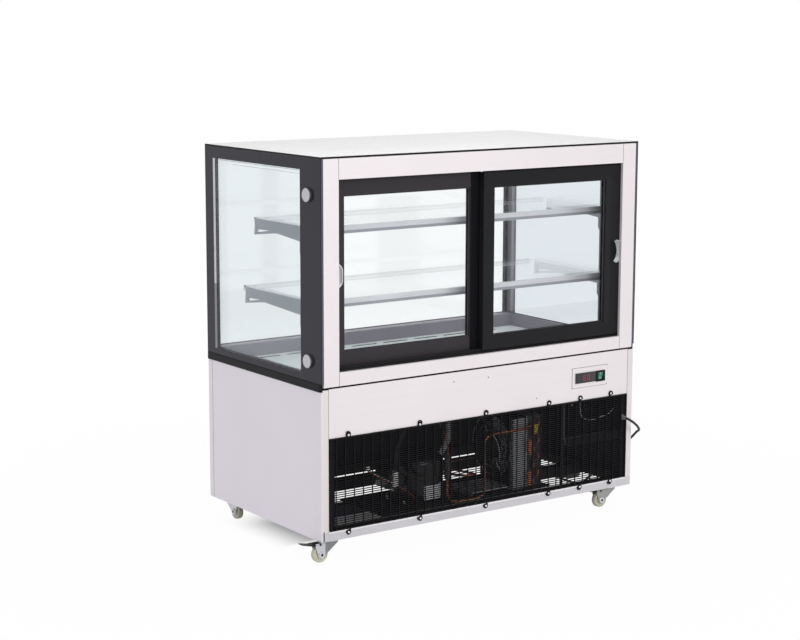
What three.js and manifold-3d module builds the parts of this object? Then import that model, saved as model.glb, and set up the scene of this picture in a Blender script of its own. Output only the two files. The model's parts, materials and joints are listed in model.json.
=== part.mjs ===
// Refrigerated bakery display case, staff side facing -Y, in millimetres with +Z up.
// It is built about the middle of its cabinet, and moved at the end to stand on the middle of its box.
import * as THREE from 'three';
import { mergeVertices } from 'three/addons/utils/BufferGeometryUtils.js';
import Module from 'manifold-3d';

// Overall sizes
const caseWidth = 1200;
const caseDepth = 660;
const casterHeight = 70;
const baseHeight = 445;
const mouldingHeight = 22;
const glassBoxHeight = 647;
const topGlassThickness = 6;

// Gap between pieces that seat on each other, and gap of what runs or slides
const seat = 0.3;
const runningGap = 1;
const pipeEndGap = 0.7;

// Levels and planes that follow from them
const halfWidth = caseWidth / 2;
const rearY = -caseDepth / 2;
const frontY = caseDepth / 2;
const baseBottom = casterHeight;
const baseTop = baseBottom + baseHeight;
const glassBottom = baseTop + mouldingHeight;
const glassTop = glassBottom + glassBoxHeight;

// Base sheet metal
const panelSheet = 2;
const cornerWidth = 25;
const cornerRadius = 5;
const frontTrimWidth = 28;
const panelReturn = 15;
const sillHeight = 31;
const upperPanelHeight = 146;
const upperPanelRise = 7;
const rearFrameDrop = 10;
const trimTopLip = 5;

// Base frame of square tube
const tubeSize = 22;
const frameRearInset = 9;
const frameTopDrop = 25;
const crossBarWidth = 40;
const middleBarY = frontY - 170;
const rearBarY = rearY + 235;
const crossRailInset = 90;
const tubRailHeight = 30;

// Platform moulding
const mouldingProud = 3;
const mouldingFrontProud = 4;
const mouldingCornerRadius = 12;
const mouldingBand = 20;
const mouldingFrontBand = 19;
const mouldingRearBand = 26;
const mouldingRearRecess = 8;

// Glass
const paneThickness = 8;
const innerPaneThickness = 4;
const spacerWidth = 9;
const sideSpacerDepth = 8;
const frontSpacerDepth = 7;
const innerPaneTopDrop = 40;
const innerPaneFrontInset = 30;
const glassButtonRadius = 20;
const glassButtonProud = 10;
const glassButtonStem = 7;
const glassButtonInset = 65;
const glassButtonRise = 61;
const glassButtonDrop = 105;
const glassButtonHeights = [glassBottom + glassButtonRise, glassTop - glassButtonDrop];

// Rear frame and doors
const rearFrameInset = 9.5;
const rearFrameDepth = 68;
const rearFrameSheet = 3;
const rearFrameLip = 10;
const stileWidth = 52.5;
const bottomRailWidth = 40;
const topRailWidth = 60;
const jambWidth = 16.5;
const trackClearance = 1;
const trackFloorRise = 4;
const trackCeilingRise = 4;
const trackDepth = 54;
const doorThickness = 22;
const doorGap = 4;
const doorSetback = 12;
const doorEdgeInset = 34;
const doorEdge = halfWidth - doorEdgeInset;
const doorOverlap = 16;
const doorBottomGap = 5;
const doorTopGap = 10;
const guideWidth = 6;
const guideHeight = 16;
const liftOutRoom = 6;
const doorGlassThickness = 8;
const doorGlassBite = 3;
const doorReveal = 9;

// Each door's stiles at its meeting edge and at its handle edge, and both doors' rails
const doorStiles = { left: [48, 71], right: [41, 88] };
const doorBottomRail = 44;
const doorTopRail = 45;

// Door pulls
const pullWidth = 60;
const pullHeight = 74;
const pullCorner = 24;
const pullDepth = 15;
const pullWall = 2;
const pullBelowMiddle = 5;
const pullFromEdge = 47;
const leftPullFromEdge = 36.5;

// Display deck, skirt and tub
const deckThickness = 12;
const deckSheet = 1.5;
const skirtHeight = 42;
const skirtWall = 5;
const skirtFrontDepth = 36;
const tubHeight = 118;
const tubWall = 20;
const tubHalf = halfWidth - 40;
const tubFrontY = frontY - 30;
const tubRearY = rearY + 40;

// Shelves
const postWidth = 12;
const postDepth = 40;
const postRearY = rearY + 95;
const postSheet = 2;
const bracketPlate = 3;
const bracketFlange = 26;
const bracketFront = 50;
const bracketWaist = 34;
const bracketHook = 87;
const bracketHookWidth = 17;
const shelfGlassThickness = 6;
const railWidth = 14;
const railHeight = 24;
const lightBarHeight = 16;
const lightBarWidth = 12;
const shelves = [
  { name: 'lower', rise: 227, bracketInset: 197, glassInset: 162, waistFromEnd: 111 },
  { name: 'upper', rise: 443, bracketInset: 256, glassInset: 228, waistFromEnd: 124 },
].map((shelf) => ({
  ...shelf,
  top: glassBottom + shelf.rise,
  bracketEnd: frontY - shelf.bracketInset,
  glassFront: frontY - shelf.glassInset,
}));

// Grilles, with their clips placed from the nearer end or from the seam between the two
const grilleEnd = halfWidth - cornerWidth - 2;
const rightGrilleWidth = 270.5;
const grilleSeamGap = 2;
const grilleSeam = grilleEnd - rightGrilleWidth - grilleSeamGap / 2;
const grilleTop = baseTop - 139;
const grilleBottom = baseBottom + 29;
const frameWire = 4;
const wireThickness = 2.6;
const rungPitch = 6.5;
const uprightPitch = 32;
const clipRadius = 5;
const clipWire = 3;
const clipRise = 9;
const notchWidth = 23;
const notchHalfHeight = 14.5;
const clipsFromLeftEnd = [64, 321];
const clipsFromSeam = [303.5, 53.5];
const clipsFromRightEnd = [196, 68];
const leftClips = [
  ...clipsFromLeftEnd.map((inset) => inset - grilleEnd),
  ...clipsFromSeam.map((inset) => grilleSeam - inset),
];
const rightClips = clipsFromRightEnd.map((inset) => grilleEnd - inset);

// Controls, placed from the middle of their plate
const plateCentre = [halfWidth - 185.5, baseTop - 65.5];
const plateSize = [145, 63];
const plateThickness = 1.2;
const plateCorner = 5;
const onPlate = ([left, right, below, above]) =>
  [plateCentre[0] + left, plateCentre[0] + right, plateCentre[1] + below, plateCentre[1] + above];
const thermostatBezel = onPlate([-60.5, 22.5, -17.5, 15.5]);
const thermostatBody = onPlate([-54.5, 16.5, -14.5, 12.5]);
const thermostatDepth = 36;
const switchFrame = onPlate([24.5, 62.5, -19.5, 15.5]);
const switchLip = 2;
const rockerClearance = 2;
const rockerSize = [18, 24];
const rockerTilt = 10;
const rockerPinRadius = 1.5;

// Condensing unit, placed forward from the case's rear and up from the base's underside
const unitPlate = [-360, 290, rearY + 40, rearY + 270];
const unitPlateThickness = 3;
const unitFlangeHeight = 5;
const standBox = [-7, 140, rearY + 58, rearY + 190];
const standHeight = 14;
const compressorCentre = [-160, rearY + 140];
const compressorRadius = 80;
const compressorTop = baseBottom + 198;
const coilBox = [200, 256, rearY + 47, rearY + 283, baseBottom + 268];
const finPitch = 20;
const finDepth = 4;
const fanCentre = [rearY + 165, baseBottom + 158];
const fanRadius = 88;
const shroudRadius = 96;
const shroudSheet = 3;
const shroudLength = 46;
const motorRadius = 40;
const motorLength = 52;
const motorInRing = 4;
const bladeCount = 5;
const bendCount = 8;
const bendTube = 4.5;
const bendRadius = 11;

// Casters
const casterInsetX = 58;
const casterInsetRear = 40;
const casterInsetFront = 30;
const casterTrail = 42;
const wheelRadius = 25;
const wheelWidth = 18;
const axleRadius = 4;
const forkSheet = 2.5;
const forkGap = 21;
const bearingRadius = 17;
const bearingHeight = 10;

// Power cord, with its points chosen along the route that the cord lies in
const cordRadius = 4;
const cordLength = 2000;
const glandCentre = [halfWidth - 40, baseBottom + 228];
const cordSides = 8;
const coilTurns = 5;
const coilPitch = 9.4;
const coilLayer = 9;
const coilMeanRadius = 43.3;
const coilCentre = [682, 96];
const loopSteps = 24;
const loopSides = 6;
const floorGap = 0.2;

// Finishes
const finish = (color, roughness, metalness) =>
  new THREE.MeshStandardMaterial({ color, roughness, metalness, flatShading: true });
const stainless = () => finish(0xe0dbdd, 0.35, 0.85);
const galvanised = () => finish(0xb9b8bb, 0.5, 0.8);
const blackSteel = () => finish(0x2b2a2e, 0.5, 0.4);
const blackProfile = () => finish(0x1f1e22, 0.4, 0.2);
const clearGlass = () => {
  const material = finish(0xdfe8ea, 0.05, 0);
  material.transparent = true;
  material.opacity = 0.3;
  return material;
};
const copper = () => finish(0xb06a45, 0.35, 0.9);
const rubber = () => finish(0x18181a, 0.8, 0);
const palePlastic = () => finish(0xd8d5cc, 0.5, 0);

// Geometry helpers
const wasm = await Module();
wasm.setup();

function welded(geometry) {
  const bare = geometry.clone();
  bare.deleteAttribute('normal');
  bare.deleteAttribute('uv');
  const merged = mergeVertices(bare, 1e-3);
  const index = merged.index.array;
  const kept = [];
  for (let k = 0; k < index.length; k += 3) {
    const [a, b, c] = [index[k], index[k + 1], index[k + 2]];
    if (a !== b && b !== c && c !== a) kept.push(a, b, c);
  }
  merged.setIndex(kept);
  return merged;
}

function signedVolume(geometry) {
  const position = geometry.attributes.position;
  const index = geometry.index.array;
  const corner = [new THREE.Vector3(), new THREE.Vector3(), new THREE.Vector3()];
  let volume = 0;
  for (let k = 0; k < index.length; k += 3) {
    corner.forEach((point, side) => point.fromBufferAttribute(position, index[k + side]));
    volume += corner[0].dot(corner[1].clone().cross(corner[2])) / 6;
  }
  return volume;
}

function outward(geometry) {
  const closed = welded(geometry);
  if (signedVolume(closed) < 0) {
    const flipped = [];
    const index = closed.index.array;
    for (let k = 0; k < index.length; k += 3) flipped.push(index[k], index[k + 2], index[k + 1]);
    closed.setIndex(flipped);
  }
  return closed;
}

function toSolid(geometry) {
  const closed = outward(geometry);
  return new wasm.Manifold(new wasm.Mesh({
    numProp: 3,
    vertProperties: new Float32Array(closed.attributes.position.array),
    triVerts: new Uint32Array(closed.index.array),
  }));
}

function toGeometry(solid) {
  const mesh = solid.getMesh();
  const geometry = new THREE.BufferGeometry();
  geometry.setAttribute('position', new THREE.BufferAttribute(new Float32Array(mesh.vertProperties), 3));
  geometry.setIndex(new THREE.BufferAttribute(new Uint32Array(mesh.triVerts), 1));
  return geometry;
}

const join = (...parts) => toGeometry(parts.map(toSolid).reduce((sum, next) => sum.add(next)));
const cut = (body, ...tools) =>
  toGeometry(tools.map(toSolid).reduce((rest, tool) => rest.subtract(tool), toSolid(body)));

function block([x0, x1], [y0, y1], [z0, z1]) {
  const geometry = new THREE.BoxGeometry(x1 - x0, y1 - y0, z1 - z0);
  return geometry.translate((x0 + x1) / 2, (y0 + y1) / 2, (z0 + z1) / 2);
}

function outline(points) {
  return new THREE.Shape(points.map(([u, v]) => new THREE.Vector2(u, v)));
}

function roundedRectangle(u0, u1, v0, v1, radius) {
  const shape = new THREE.Shape();
  shape.moveTo(u0 + radius, v0);
  shape.lineTo(u1 - radius, v0);
  shape.absarc(u1 - radius, v0 + radius, radius, -Math.PI / 2, 0, false);
  shape.lineTo(u1, v1 - radius);
  shape.absarc(u1 - radius, v1 - radius, radius, 0, Math.PI / 2, false);
  shape.lineTo(u0 + radius, v1);
  shape.absarc(u0 + radius, v1 - radius, radius, Math.PI / 2, Math.PI, false);
  shape.lineTo(u0, v0 + radius);
  shape.absarc(u0 + radius, v0 + radius, radius, Math.PI, 1.5 * Math.PI, false);
  return shape;
}

// An outline in X and Y, raised from one height to another
function slabXY(shape, [z0, z1], curveSegments = 6) {
  const geometry = new THREE.ExtrudeGeometry(shape, { depth: z1 - z0, bevelEnabled: false, curveSegments });
  return geometry.translate(0, 0, z0);
}

// An outline in X and Z, carried from one depth to another
function slabXZ(shape, [y0, y1], curveSegments = 6) {
  const geometry = new THREE.ExtrudeGeometry(shape, { depth: y1 - y0, bevelEnabled: false, curveSegments });
  return geometry.rotateX(Math.PI / 2).translate(0, y1, 0);
}

// An outline in Y and Z, carried from one side to another
function slabYZ(shape, [x0, x1], curveSegments = 6) {
  const geometry = new THREE.ExtrudeGeometry(shape, { depth: x1 - x0, bevelEnabled: false, curveSegments });
  const turn = new THREE.Matrix4().makeBasis(
    new THREE.Vector3(0, 1, 0), new THREE.Vector3(0, 0, 1), new THREE.Vector3(1, 0, 0));
  return geometry.applyMatrix4(turn).translate(x0, 0, 0);
}

// Rectangular frame around a rectangular hole, in X and Z
function frameXZ(outerX, outerZ, innerX, innerZ, depth) {
  const outer = outline([[outerX[0], outerZ[0]], [outerX[1], outerZ[0]],
    [outerX[1], outerZ[1]], [outerX[0], outerZ[1]]]);
  outer.holes.push(outline([[innerX[0], innerZ[0]], [innerX[0], innerZ[1]],
    [innerX[1], innerZ[1]], [innerX[1], innerZ[0]]]));
  return slabXZ(outer, depth);
}

// Turned body about a line along Z, Y or X, from [radius, distance] points
function turned(profile, axis, segments) {
  const points = profile.map(([radius, along]) => new THREE.Vector2(radius, along));
  const geometry = new THREE.LatheGeometry(points, segments);
  if (axis === 'z') geometry.rotateX(Math.PI / 2);
  if (axis === 'x') geometry.rotateZ(-Math.PI / 2);
  return geometry;
}

function rod(radius, length, axis, segments) {
  return turned([[0, 0], [radius, 0], [radius, length], [0, length]], axis, segments);
}

function polygonSection(radius, sides) {
  const corners = [];
  for (let k = 0; k < sides; k += 1) {
    const angle = (k + 0.5) * 2 * Math.PI / sides;
    corners.push([radius * Math.cos(angle), radius * Math.sin(angle)]);
  }
  return outline(corners);
}

// Round bar along a smooth line through the points, in steps of about the given length
function tube(points, radius, sides, step) {
  const corners = points.map((point) => new THREE.Vector3(...point));
  const path = new THREE.CatmullRomCurve3(corners, false, 'centripetal');
  const steps = Math.max(2, Math.round(path.getLength() / step));
  const section = polygonSection(radius, sides);
  return new THREE.ExtrudeGeometry(section, { steps, extrudePath: path, bevelEnabled: false });
}

const mirrorX = (geometry) => geometry.clone().applyMatrix4(new THREE.Matrix4().makeScale(-1, 1, 1));
const sided = (side, geometry) => (side < 0 ? geometry : mirrorX(geometry));
const span = (side, near, far) => (side < 0 ? [-far, -near] : [near, far]);

const displayCase = new THREE.Group();

function piece(name, geometry, material, parent = displayCase) {
  const mesh = new THREE.Mesh(outward(geometry), material);
  mesh.name = name;
  parent.add(mesh);
  return mesh;
}

const sideNames = [[-1, 'left'], [1, 'right']];

// Base: frame of square tube with uprights, cross bars and the rails that carry the tub
const frameOuter = halfWidth - panelSheet - 1 - seat;
const frameInner = frameOuter - tubeSize;
const frameRear = rearY + frameRearInset + seat;
const frameFront = frontY - panelSheet - seat;
const frameTop = baseTop - frameTopDrop;
const tubBottom = baseTop - deckThickness - seat - tubHeight;

function buildBaseFrame() {
  const low = [baseBottom, baseBottom + sillHeight];
  const rails = [];
  for (const [side] of sideNames) {
    const across = span(side, frameInner, frameOuter);
    rails.push(block(across, [frameRear, frameFront], low));
    rails.push(block(across, [frameRear, frameRear + tubeSize], [baseBottom, frameTop]));
    rails.push(block(across, [frameFront - tubeSize, frameFront], [baseBottom, frameTop]));
    rails.push(block(across, [frameRear, frameFront], [tubBottom - seat - tubRailHeight, tubBottom - seat]));
  }
  const whole = [-frameInner - 1, frameInner + 1];
  const rearRail = [frameRear + 1, frameRear + tubeSize];
  rails.push(block(whole, rearRail, low));
  rails.push(block(whole, [frameFront - tubeSize, frameFront], low));
  rails.push(block(whole, [middleBarY - crossBarWidth / 2, middleBarY + crossBarWidth / 2], low));
  rails.push(block(whole, [rearBarY - crossBarWidth / 2, rearBarY + crossBarWidth / 2], low));
  for (const y of [rearY + crossRailInset, frontY - crossRailInset]) {
    rails.push(block(whole, [y - tubeSize / 2, y + tubeSize / 2],
      [tubBottom - seat - tubRailHeight, tubBottom - seat]));
  }
  return join(...rails);
}

piece('base_frame', buildBaseFrame(), blackSteel());

// Rear corner posts: folded sheet, with a lip behind the grille's end that carries the gland
const postSheetThickness = 3;
const lipReach = 24;
const lipSetback = 6;
const lipY = rearY + lipSetback;
const upperPanelTop = baseTop + upperPanelRise;
const upperPanelBottom = upperPanelTop - upperPanelHeight;

function buildCornerPost() {
  const outer = -halfWidth;
  const inner = outer + cornerWidth;
  const shape = new THREE.Shape();
  shape.moveTo(outer, rearY + cornerWidth);
  shape.lineTo(outer, rearY + cornerRadius);
  shape.absarc(outer + cornerRadius, rearY + cornerRadius, cornerRadius, Math.PI, 1.5 * Math.PI, false);
  shape.lineTo(inner, rearY);
  shape.lineTo(inner, lipY);
  shape.lineTo(inner + lipReach, lipY);
  shape.lineTo(inner + lipReach, lipY + postSheetThickness);
  shape.lineTo(inner - postSheetThickness, lipY + postSheetThickness);
  shape.lineTo(inner - postSheetThickness, rearY + postSheetThickness);
  shape.lineTo(outer + postSheetThickness, rearY + postSheetThickness);
  shape.lineTo(outer + postSheetThickness, rearY + cornerWidth);
  const post = slabXY(shape, [baseBottom, baseTop - seat], 3);
  const lipTop = block([outer + cornerRadius, inner], [rearY, rearY + postSheetThickness],
    [baseTop - 1, baseTop + trimTopLip]);
  const gap = block([inner - 1, inner + lipReach + 1], [lipY - 1, lipY + postSheetThickness + 1],
    [upperPanelBottom - 1, baseTop]);
  return join(cut(post, gap), lipTop);
}

// Rail across the right of the bay, folded to a shallow channel and fixed behind the right lip
const bayRail = [halfWidth - 270, halfWidth - 38, baseBottom + 159, baseBottom + 182];
const bayRailDepth = 12;
const bayRailSheet = 2;

function buildBayRail() {
  const [x0, x1, z0, z1] = bayRail;
  const face = lipY + postSheetThickness;
  const lipEnd = halfWidth - cornerWidth - lipReach;
  const channel = block([x0, x1], [face, face + bayRailDepth], [z0, z1]);
  const hollow = block([x0 - 1, x1 + 1], [face + bayRailSheet, face + bayRailDepth + 1],
    [z0 + bayRailSheet, z1 - bayRailSheet]);
  const fixing = block([lipEnd + 1, x1], [lipY + 1, face + 1], [z0 + 1, z1 - 1]);
  return join(cut(channel, hollow), fixing);
}

piece('corner_post_rear_left', buildCornerPost(), stainless());
piece('corner_post_rear_right', join(mirrorX(buildCornerPost()), buildBayRail()), stainless());

// Side panels between the rear posts and the front panel's returns, as shallow pans
const sidePanelRear = rearY + cornerWidth + seat;
const sidePanelFront = frontY - frontTrimWidth - seat;

function buildSidePanel() {
  const outer = -halfWidth;
  return block([outer, outer + panelSheet], [sidePanelRear, sidePanelFront], [baseBottom, baseTop - seat]);
}

for (const [side, name] of sideNames) {
  piece(`side_panel_${name}`, sided(side, buildSidePanel()), stainless());
}

// Front panel on the customer side, folded round both corners
function buildFrontPanel() {
  const returnEnd = frontY - frontTrimWidth;
  const through = [baseBottom - 1, baseTop + 1];
  const shape = roundedRectangle(-halfWidth, halfWidth, returnEnd - cornerRadius, frontY, cornerRadius);
  const outside = slabXY(shape, [baseBottom, baseTop - seat], 3);
  const insideX = [-halfWidth + panelSheet, halfWidth - panelSheet];
  const inside = block(insideX, [rearY, frontY - panelSheet], through);
  const behind = block([-halfWidth - 1, halfWidth + 1], [rearY, returnEnd], through);
  return cut(outside, inside, behind);
}

piece('front_panel', buildFrontPanel(), stainless());

// Rear sill and rear upper panel between the corner posts
const bayHalf = halfWidth - cornerWidth - seat;

function buildSill() {
  const face = block([-bayHalf, bayHalf], [rearY, rearY + panelSheet], [baseBottom, baseBottom + sillHeight]);
  const shelf = block([-bayHalf, bayHalf], [rearY, rearY + panelSheet + 3],
    [baseBottom + sillHeight - panelSheet, baseBottom + sillHeight]);
  return join(face, shelf);
}

piece('rear_sill', buildSill(), stainless());

function rectangle([u0, u1, v0, v1]) {
  return outline([[u0, v0], [u0, v1], [u1, v1], [u1, v0]]);
}

const grown = ([u0, u1, v0, v1], by) => [u0 - by, u1 + by, v0 - by, v1 + by];
const switchBody = grown(switchFrame, -switchLip);

function buildUpperPanel() {
  const face = block([-bayHalf, bayHalf], [rearY, rearY + panelSheet], [upperPanelBottom, upperPanelTop]);
  const fold = block([-bayHalf, bayHalf], [rearY, rearY + panelReturn],
    [upperPanelBottom, upperPanelBottom + panelSheet]);
  const through = [rearY - 1, rearY + panelSheet + 1];
  return cut(join(face, fold), slabXZ(rectangle(grown(thermostatBody, seat)), through),
    slabXZ(rectangle(grown(switchBody, seat)), through));
}

piece('rear_upper_panel', buildUpperPanel(), stainless());

// Grilles: rungs joined to the end wires, uprights joined to the top and bottom wires
const grilleFace = rearY - mouldingFrontProud + 0.1;
const grilleBack = rearY - seat;
const rungDepth = [grilleFace + wireThickness + seat, grilleFace + 2 * wireThickness + seat];
const uprightDepth = [grilleFace, grilleFace + wireThickness];
const frameDepth = [grilleFace, grilleBack];

function clipAt(x, wireZ, direction) {
  const turn = direction > 0 ? 0 : Math.PI;
  const centre = wireZ + direction * clipRise;
  const shape = new THREE.Shape();
  shape.moveTo(x - direction * (clipRadius + clipWire), wireZ);
  shape.lineTo(x - direction * clipRadius, wireZ);
  shape.lineTo(x - direction * clipRadius, centre);
  shape.absarc(x, centre, clipRadius, turn + Math.PI, turn, true);
  shape.lineTo(x + direction * clipRadius, wireZ + direction * clipWire * 2);
  shape.lineTo(x + direction * (clipRadius + clipWire), wireZ + direction * clipWire * 2);
  shape.lineTo(x + direction * (clipRadius + clipWire), centre);
  shape.absarc(x, centre, clipRadius + clipWire, turn, turn + Math.PI, false);
  return slabXZ(shape, frameDepth, 5);
}

function buildGrille([x0, x1], clips, notched) {
  const wires = [];
  const low = [grilleBottom, grilleBottom + frameWire];
  const high = [grilleTop - frameWire, grilleTop];
  const insideEnds = [x0 + frameWire, x1 - frameWire];
  wires.push(frameXZ([x0, x1], [low[0], high[1]], insideEnds, [low[1], high[0]], frameDepth));
  const notchLeft = x1 - notchWidth;
  const notchBottom = glandCentre[1] - notchHalfHeight;
  const notchTop = glandCentre[1] + notchHalfHeight;
  const rungCount = Math.floor((high[0] - low[1]) / rungPitch);
  const firstRung = (low[1] + high[0] - (rungCount - 1) * rungPitch) / 2;
  for (let k = 0; k < rungCount; k += 1) {
    const z = firstRung + k * rungPitch;
    const inNotch = notched && z > notchBottom && z < notchTop;
    const right = inNotch ? notchLeft - frameWire / 2 : x1 - frameWire / 2;
    wires.push(block([x0 + frameWire / 2, right], rungDepth, [z - wireThickness / 2, z + wireThickness / 2]));
  }
  if (notched) {
    const notchWire = [notchLeft - frameWire, notchLeft];
    wires.push(block(notchWire, [rungDepth[0], rungDepth[1] + 1],
      [notchBottom - rungPitch, notchTop + rungPitch]));
  }
  const uprightCount = Math.floor((x1 - x0 - 2 * frameWire) / uprightPitch);
  const firstUpright = (x0 + x1 - (uprightCount - 1) * uprightPitch) / 2;
  for (let k = 0; k < uprightCount; k += 1) {
    const x = firstUpright + k * uprightPitch;
    wires.push(block([x - wireThickness / 2, x + wireThickness / 2], uprightDepth,
      [low[0] + frameWire / 2, high[1] - frameWire / 2]));
  }
  for (const x of clips) {
    wires.push(clipAt(x, high[1] - 1, 1));
    wires.push(clipAt(x, low[0] + 1, -1));
  }
  return join(...wires);
}

const leftGrilleSpan = [-grilleEnd, grilleSeam - grilleSeamGap / 2];
const rightGrilleSpan = [grilleSeam + grilleSeamGap / 2, grilleEnd];
piece('grille_left', buildGrille(leftGrilleSpan, leftClips, false), blackSteel());
piece('grille_right', buildGrille(rightGrilleSpan, rightClips, true), blackSteel());

// Controls on the rear upper panel
const plateDepth = [rearY - seat - plateThickness, rearY - seat];
const controlFront = rearY - mouldingFrontProud;

function buildControlPlate() {
  const [cx, cz] = plateCentre;
  const [width, height] = plateSize;
  const shape = roundedRectangle(cx - width / 2, cx + width / 2,
    cz - height / 2, cz + height / 2, plateCorner);
  const plate = cut(slabXZ(shape, plateDepth, 3),
    slabXZ(rectangle(grown(thermostatBody, seat)), [plateDepth[0] - 1, plateDepth[1] + 1]));
  const frame = slabXZ(rectangle(switchFrame), [controlFront, plateDepth[1]]);
  const body = slabXZ(rectangle(switchBody), [plateDepth[0], rearY + thermostatDepth / 2]);
  const [rx, rz] = [(switchFrame[0] + switchFrame[1]) / 2, (switchFrame[2] + switchFrame[3]) / 2];
  const pocket = block([rx - rockerSize[0] / 2 - runningGap, rx + rockerSize[0] / 2 + runningGap],
    [controlFront - 1, controlFront + 12],
    [rz - rockerSize[1] / 2 - rockerClearance, rz + rockerSize[1] / 2 + rockerClearance]);
  return cut(join(plate, frame, body), pocket);
}

piece('control_plate', buildControlPlate(), stainless());

function buildThermostat() {
  const bezel = slabXZ(rectangle(thermostatBezel), [controlFront, plateDepth[0] - seat]);
  const body = slabXZ(rectangle(thermostatBody), [plateDepth[0] - seat - 1, rearY + thermostatDepth]);
  return join(bezel, body);
}

piece('thermostat', buildThermostat(), blackProfile());

// Switch rocker: a shallow V that stands proud on its upper half, tipping about its middle
const rockerPivot = [
  (switchFrame[0] + switchFrame[1]) / 2, controlFront + 6, (switchFrame[2] + switchFrame[3]) / 2];

function buildRocker() {
  const half = rockerSize[1] / 2;
  const drop = half * Math.tan(THREE.MathUtils.degToRad(rockerTilt));
  const proud = rockerPivot[1] - controlFront;
  const shape = outline([[-proud, half], [0, half - 1], [3, 0], [0, -half + 1],
    [-proud + 2 * drop, -half], [-proud + drop, 0]]);
  const pinReach = rockerSize[0] / 2 + runningGap - seat;
  const pin = rod(rockerPinRadius, 2 * pinReach, 'x', 8).translate(-pinReach, 0, 0);
  return join(slabYZ(shape, [-rockerSize[0] / 2, rockerSize[0] / 2]), pin);
}

const rocker = piece('switch_rocker', buildRocker(), finish(0x0f7a55, 0.4, 0));
rocker.position.set(...rockerPivot);

// Platform moulding: a black band round the case under the glass, lower at the rear
const rearFrameBottom = glassBottom - rearFrameDrop;
const rearFrameHalf = halfWidth - rearFrameInset;
const mouldingRear = rearY + mouldingRearRecess;

function buildMoulding() {
  const outerX = halfWidth + mouldingProud;
  const outerY = frontY + mouldingFrontProud;
  const radius = mouldingCornerRadius;
  const shape = new THREE.Shape();
  shape.moveTo(-outerX, mouldingRear);
  shape.lineTo(outerX, mouldingRear);
  shape.lineTo(outerX, outerY - radius);
  shape.absarc(outerX - radius, outerY - radius, radius, 0, Math.PI / 2, false);
  shape.lineTo(-outerX + radius, outerY);
  shape.absarc(-outerX + radius, outerY - radius, radius, Math.PI / 2, Math.PI, false);
  const innerX = halfWidth - mouldingBand;
  shape.holes.push(rectangle([-innerX, innerX, mouldingRear + mouldingRearBand, frontY - mouldingFrontBand]));
  const ring = slabXY(shape, [baseTop, glassBottom], 6);
  const rest = block([-rearFrameHalf - seat, rearFrameHalf + seat],
    [mouldingRear - 1, rearY + rearFrameDepth + seat], [rearFrameBottom, glassBottom + 1]);
  return cut(ring, rest);
}

piece('platform_moulding', buildMoulding(), blackProfile());

// Outer glass: two side panes, the front pane over their edges and the top pane
const paneHeights = [glassBottom + seat, glassTop - seat];
const sidePaneFront = frontY - paneThickness - seat;

function buildSideGlass() {
  const pane = block([-halfWidth, -halfWidth + paneThickness], [rearY, sidePaneFront], paneHeights);
  const holes = glassButtonHeights.map((z) =>
    rod(glassButtonStem + runningGap / 2, paneThickness + 2, 'x', 12)
      .translate(-halfWidth - 1, rearY + glassButtonInset, z));
  return cut(pane, ...holes);
}

for (const [side, name] of sideNames) {
  piece(`glass_side_${name}`, sided(side, buildSideGlass()), clearGlass());
}

const acrossCase = [-halfWidth, halfWidth];
const glassTopHeights = [glassTop, glassTop + topGlassThickness];
piece('glass_front', block(acrossCase, [frontY - paneThickness, frontY], paneHeights), clearGlass());
piece('glass_top', block(acrossCase, [rearY, frontY], glassTopHeights), clearGlass());

// Inner panes with their spacer strips, which make the double glazing
const innerPaneHeights = [glassBottom + seat, glassTop - innerPaneTopDrop];
const innerPaneRear = rearY + rearFrameDepth + 7;
const innerSideX = halfWidth - paneThickness - sideSpacerDepth;

function framedPane(u, v, width) {
  const shape = outline([[u[0], v[0]], [u[1], v[0]], [u[1], v[1]], [u[0], v[1]]]);
  shape.holes.push(rectangle([u[0] + width, u[1] - width, v[0] + width, v[1] - width]));
  return shape;
}

function buildInnerSidePane() {
  const along = [innerPaneRear, frontY - innerPaneFrontInset];
  const pane = block([-innerSideX, -innerSideX + innerPaneThickness], along, innerPaneHeights);
  const spacer = slabYZ(framedPane(along, innerPaneHeights, spacerWidth),
    [-halfWidth + paneThickness + seat, -innerSideX + 1]);
  return join(pane, spacer);
}

for (const [side, name] of sideNames) {
  piece(`inner_pane_${name}`, sided(side, buildInnerSidePane()), clearGlass());
}

const innerFrontY = frontY - paneThickness - frontSpacerDepth;

function buildInnerFrontPane() {
  const across = [-innerSideX + innerPaneThickness + 4, innerSideX - innerPaneThickness - 4];
  const pane = block(across, [innerFrontY - innerPaneThickness, innerFrontY], innerPaneHeights);
  const spacer = slabXZ(framedPane(across, innerPaneHeights, spacerWidth),
    [innerFrontY - 1, frontY - paneThickness - seat]);
  return join(pane, spacer);
}

piece('inner_pane_front', buildInnerFrontPane(), clearGlass());

// Rear frame: folded sheet round the doorway, carrying the buttons that clamp the side panes
const frameZ = [rearFrameBottom + seat, glassTop - seat];
const doorwayHalf = rearFrameHalf - stileWidth;
const doorwayZ = [rearFrameBottom + bottomRailWidth, glassTop - topRailWidth];

function buildGlassButton(z) {
  const stem = rod(glassButtonStem, rearFrameInset + 3, 'x', 10).translate(-halfWidth - 2, 0, 0);
  const proud = glassButtonProud;
  const disc = turned([[0, 0], [glassButtonRadius - 2, 0], [glassButtonRadius, 2],
    [glassButtonRadius - 4, proud - seat], [0, proud - seat]], 'x', 22)
    .translate(-halfWidth - proud, 0, 0);
  return join(stem, disc).translate(0, rearY + glassButtonInset, z);
}

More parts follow.
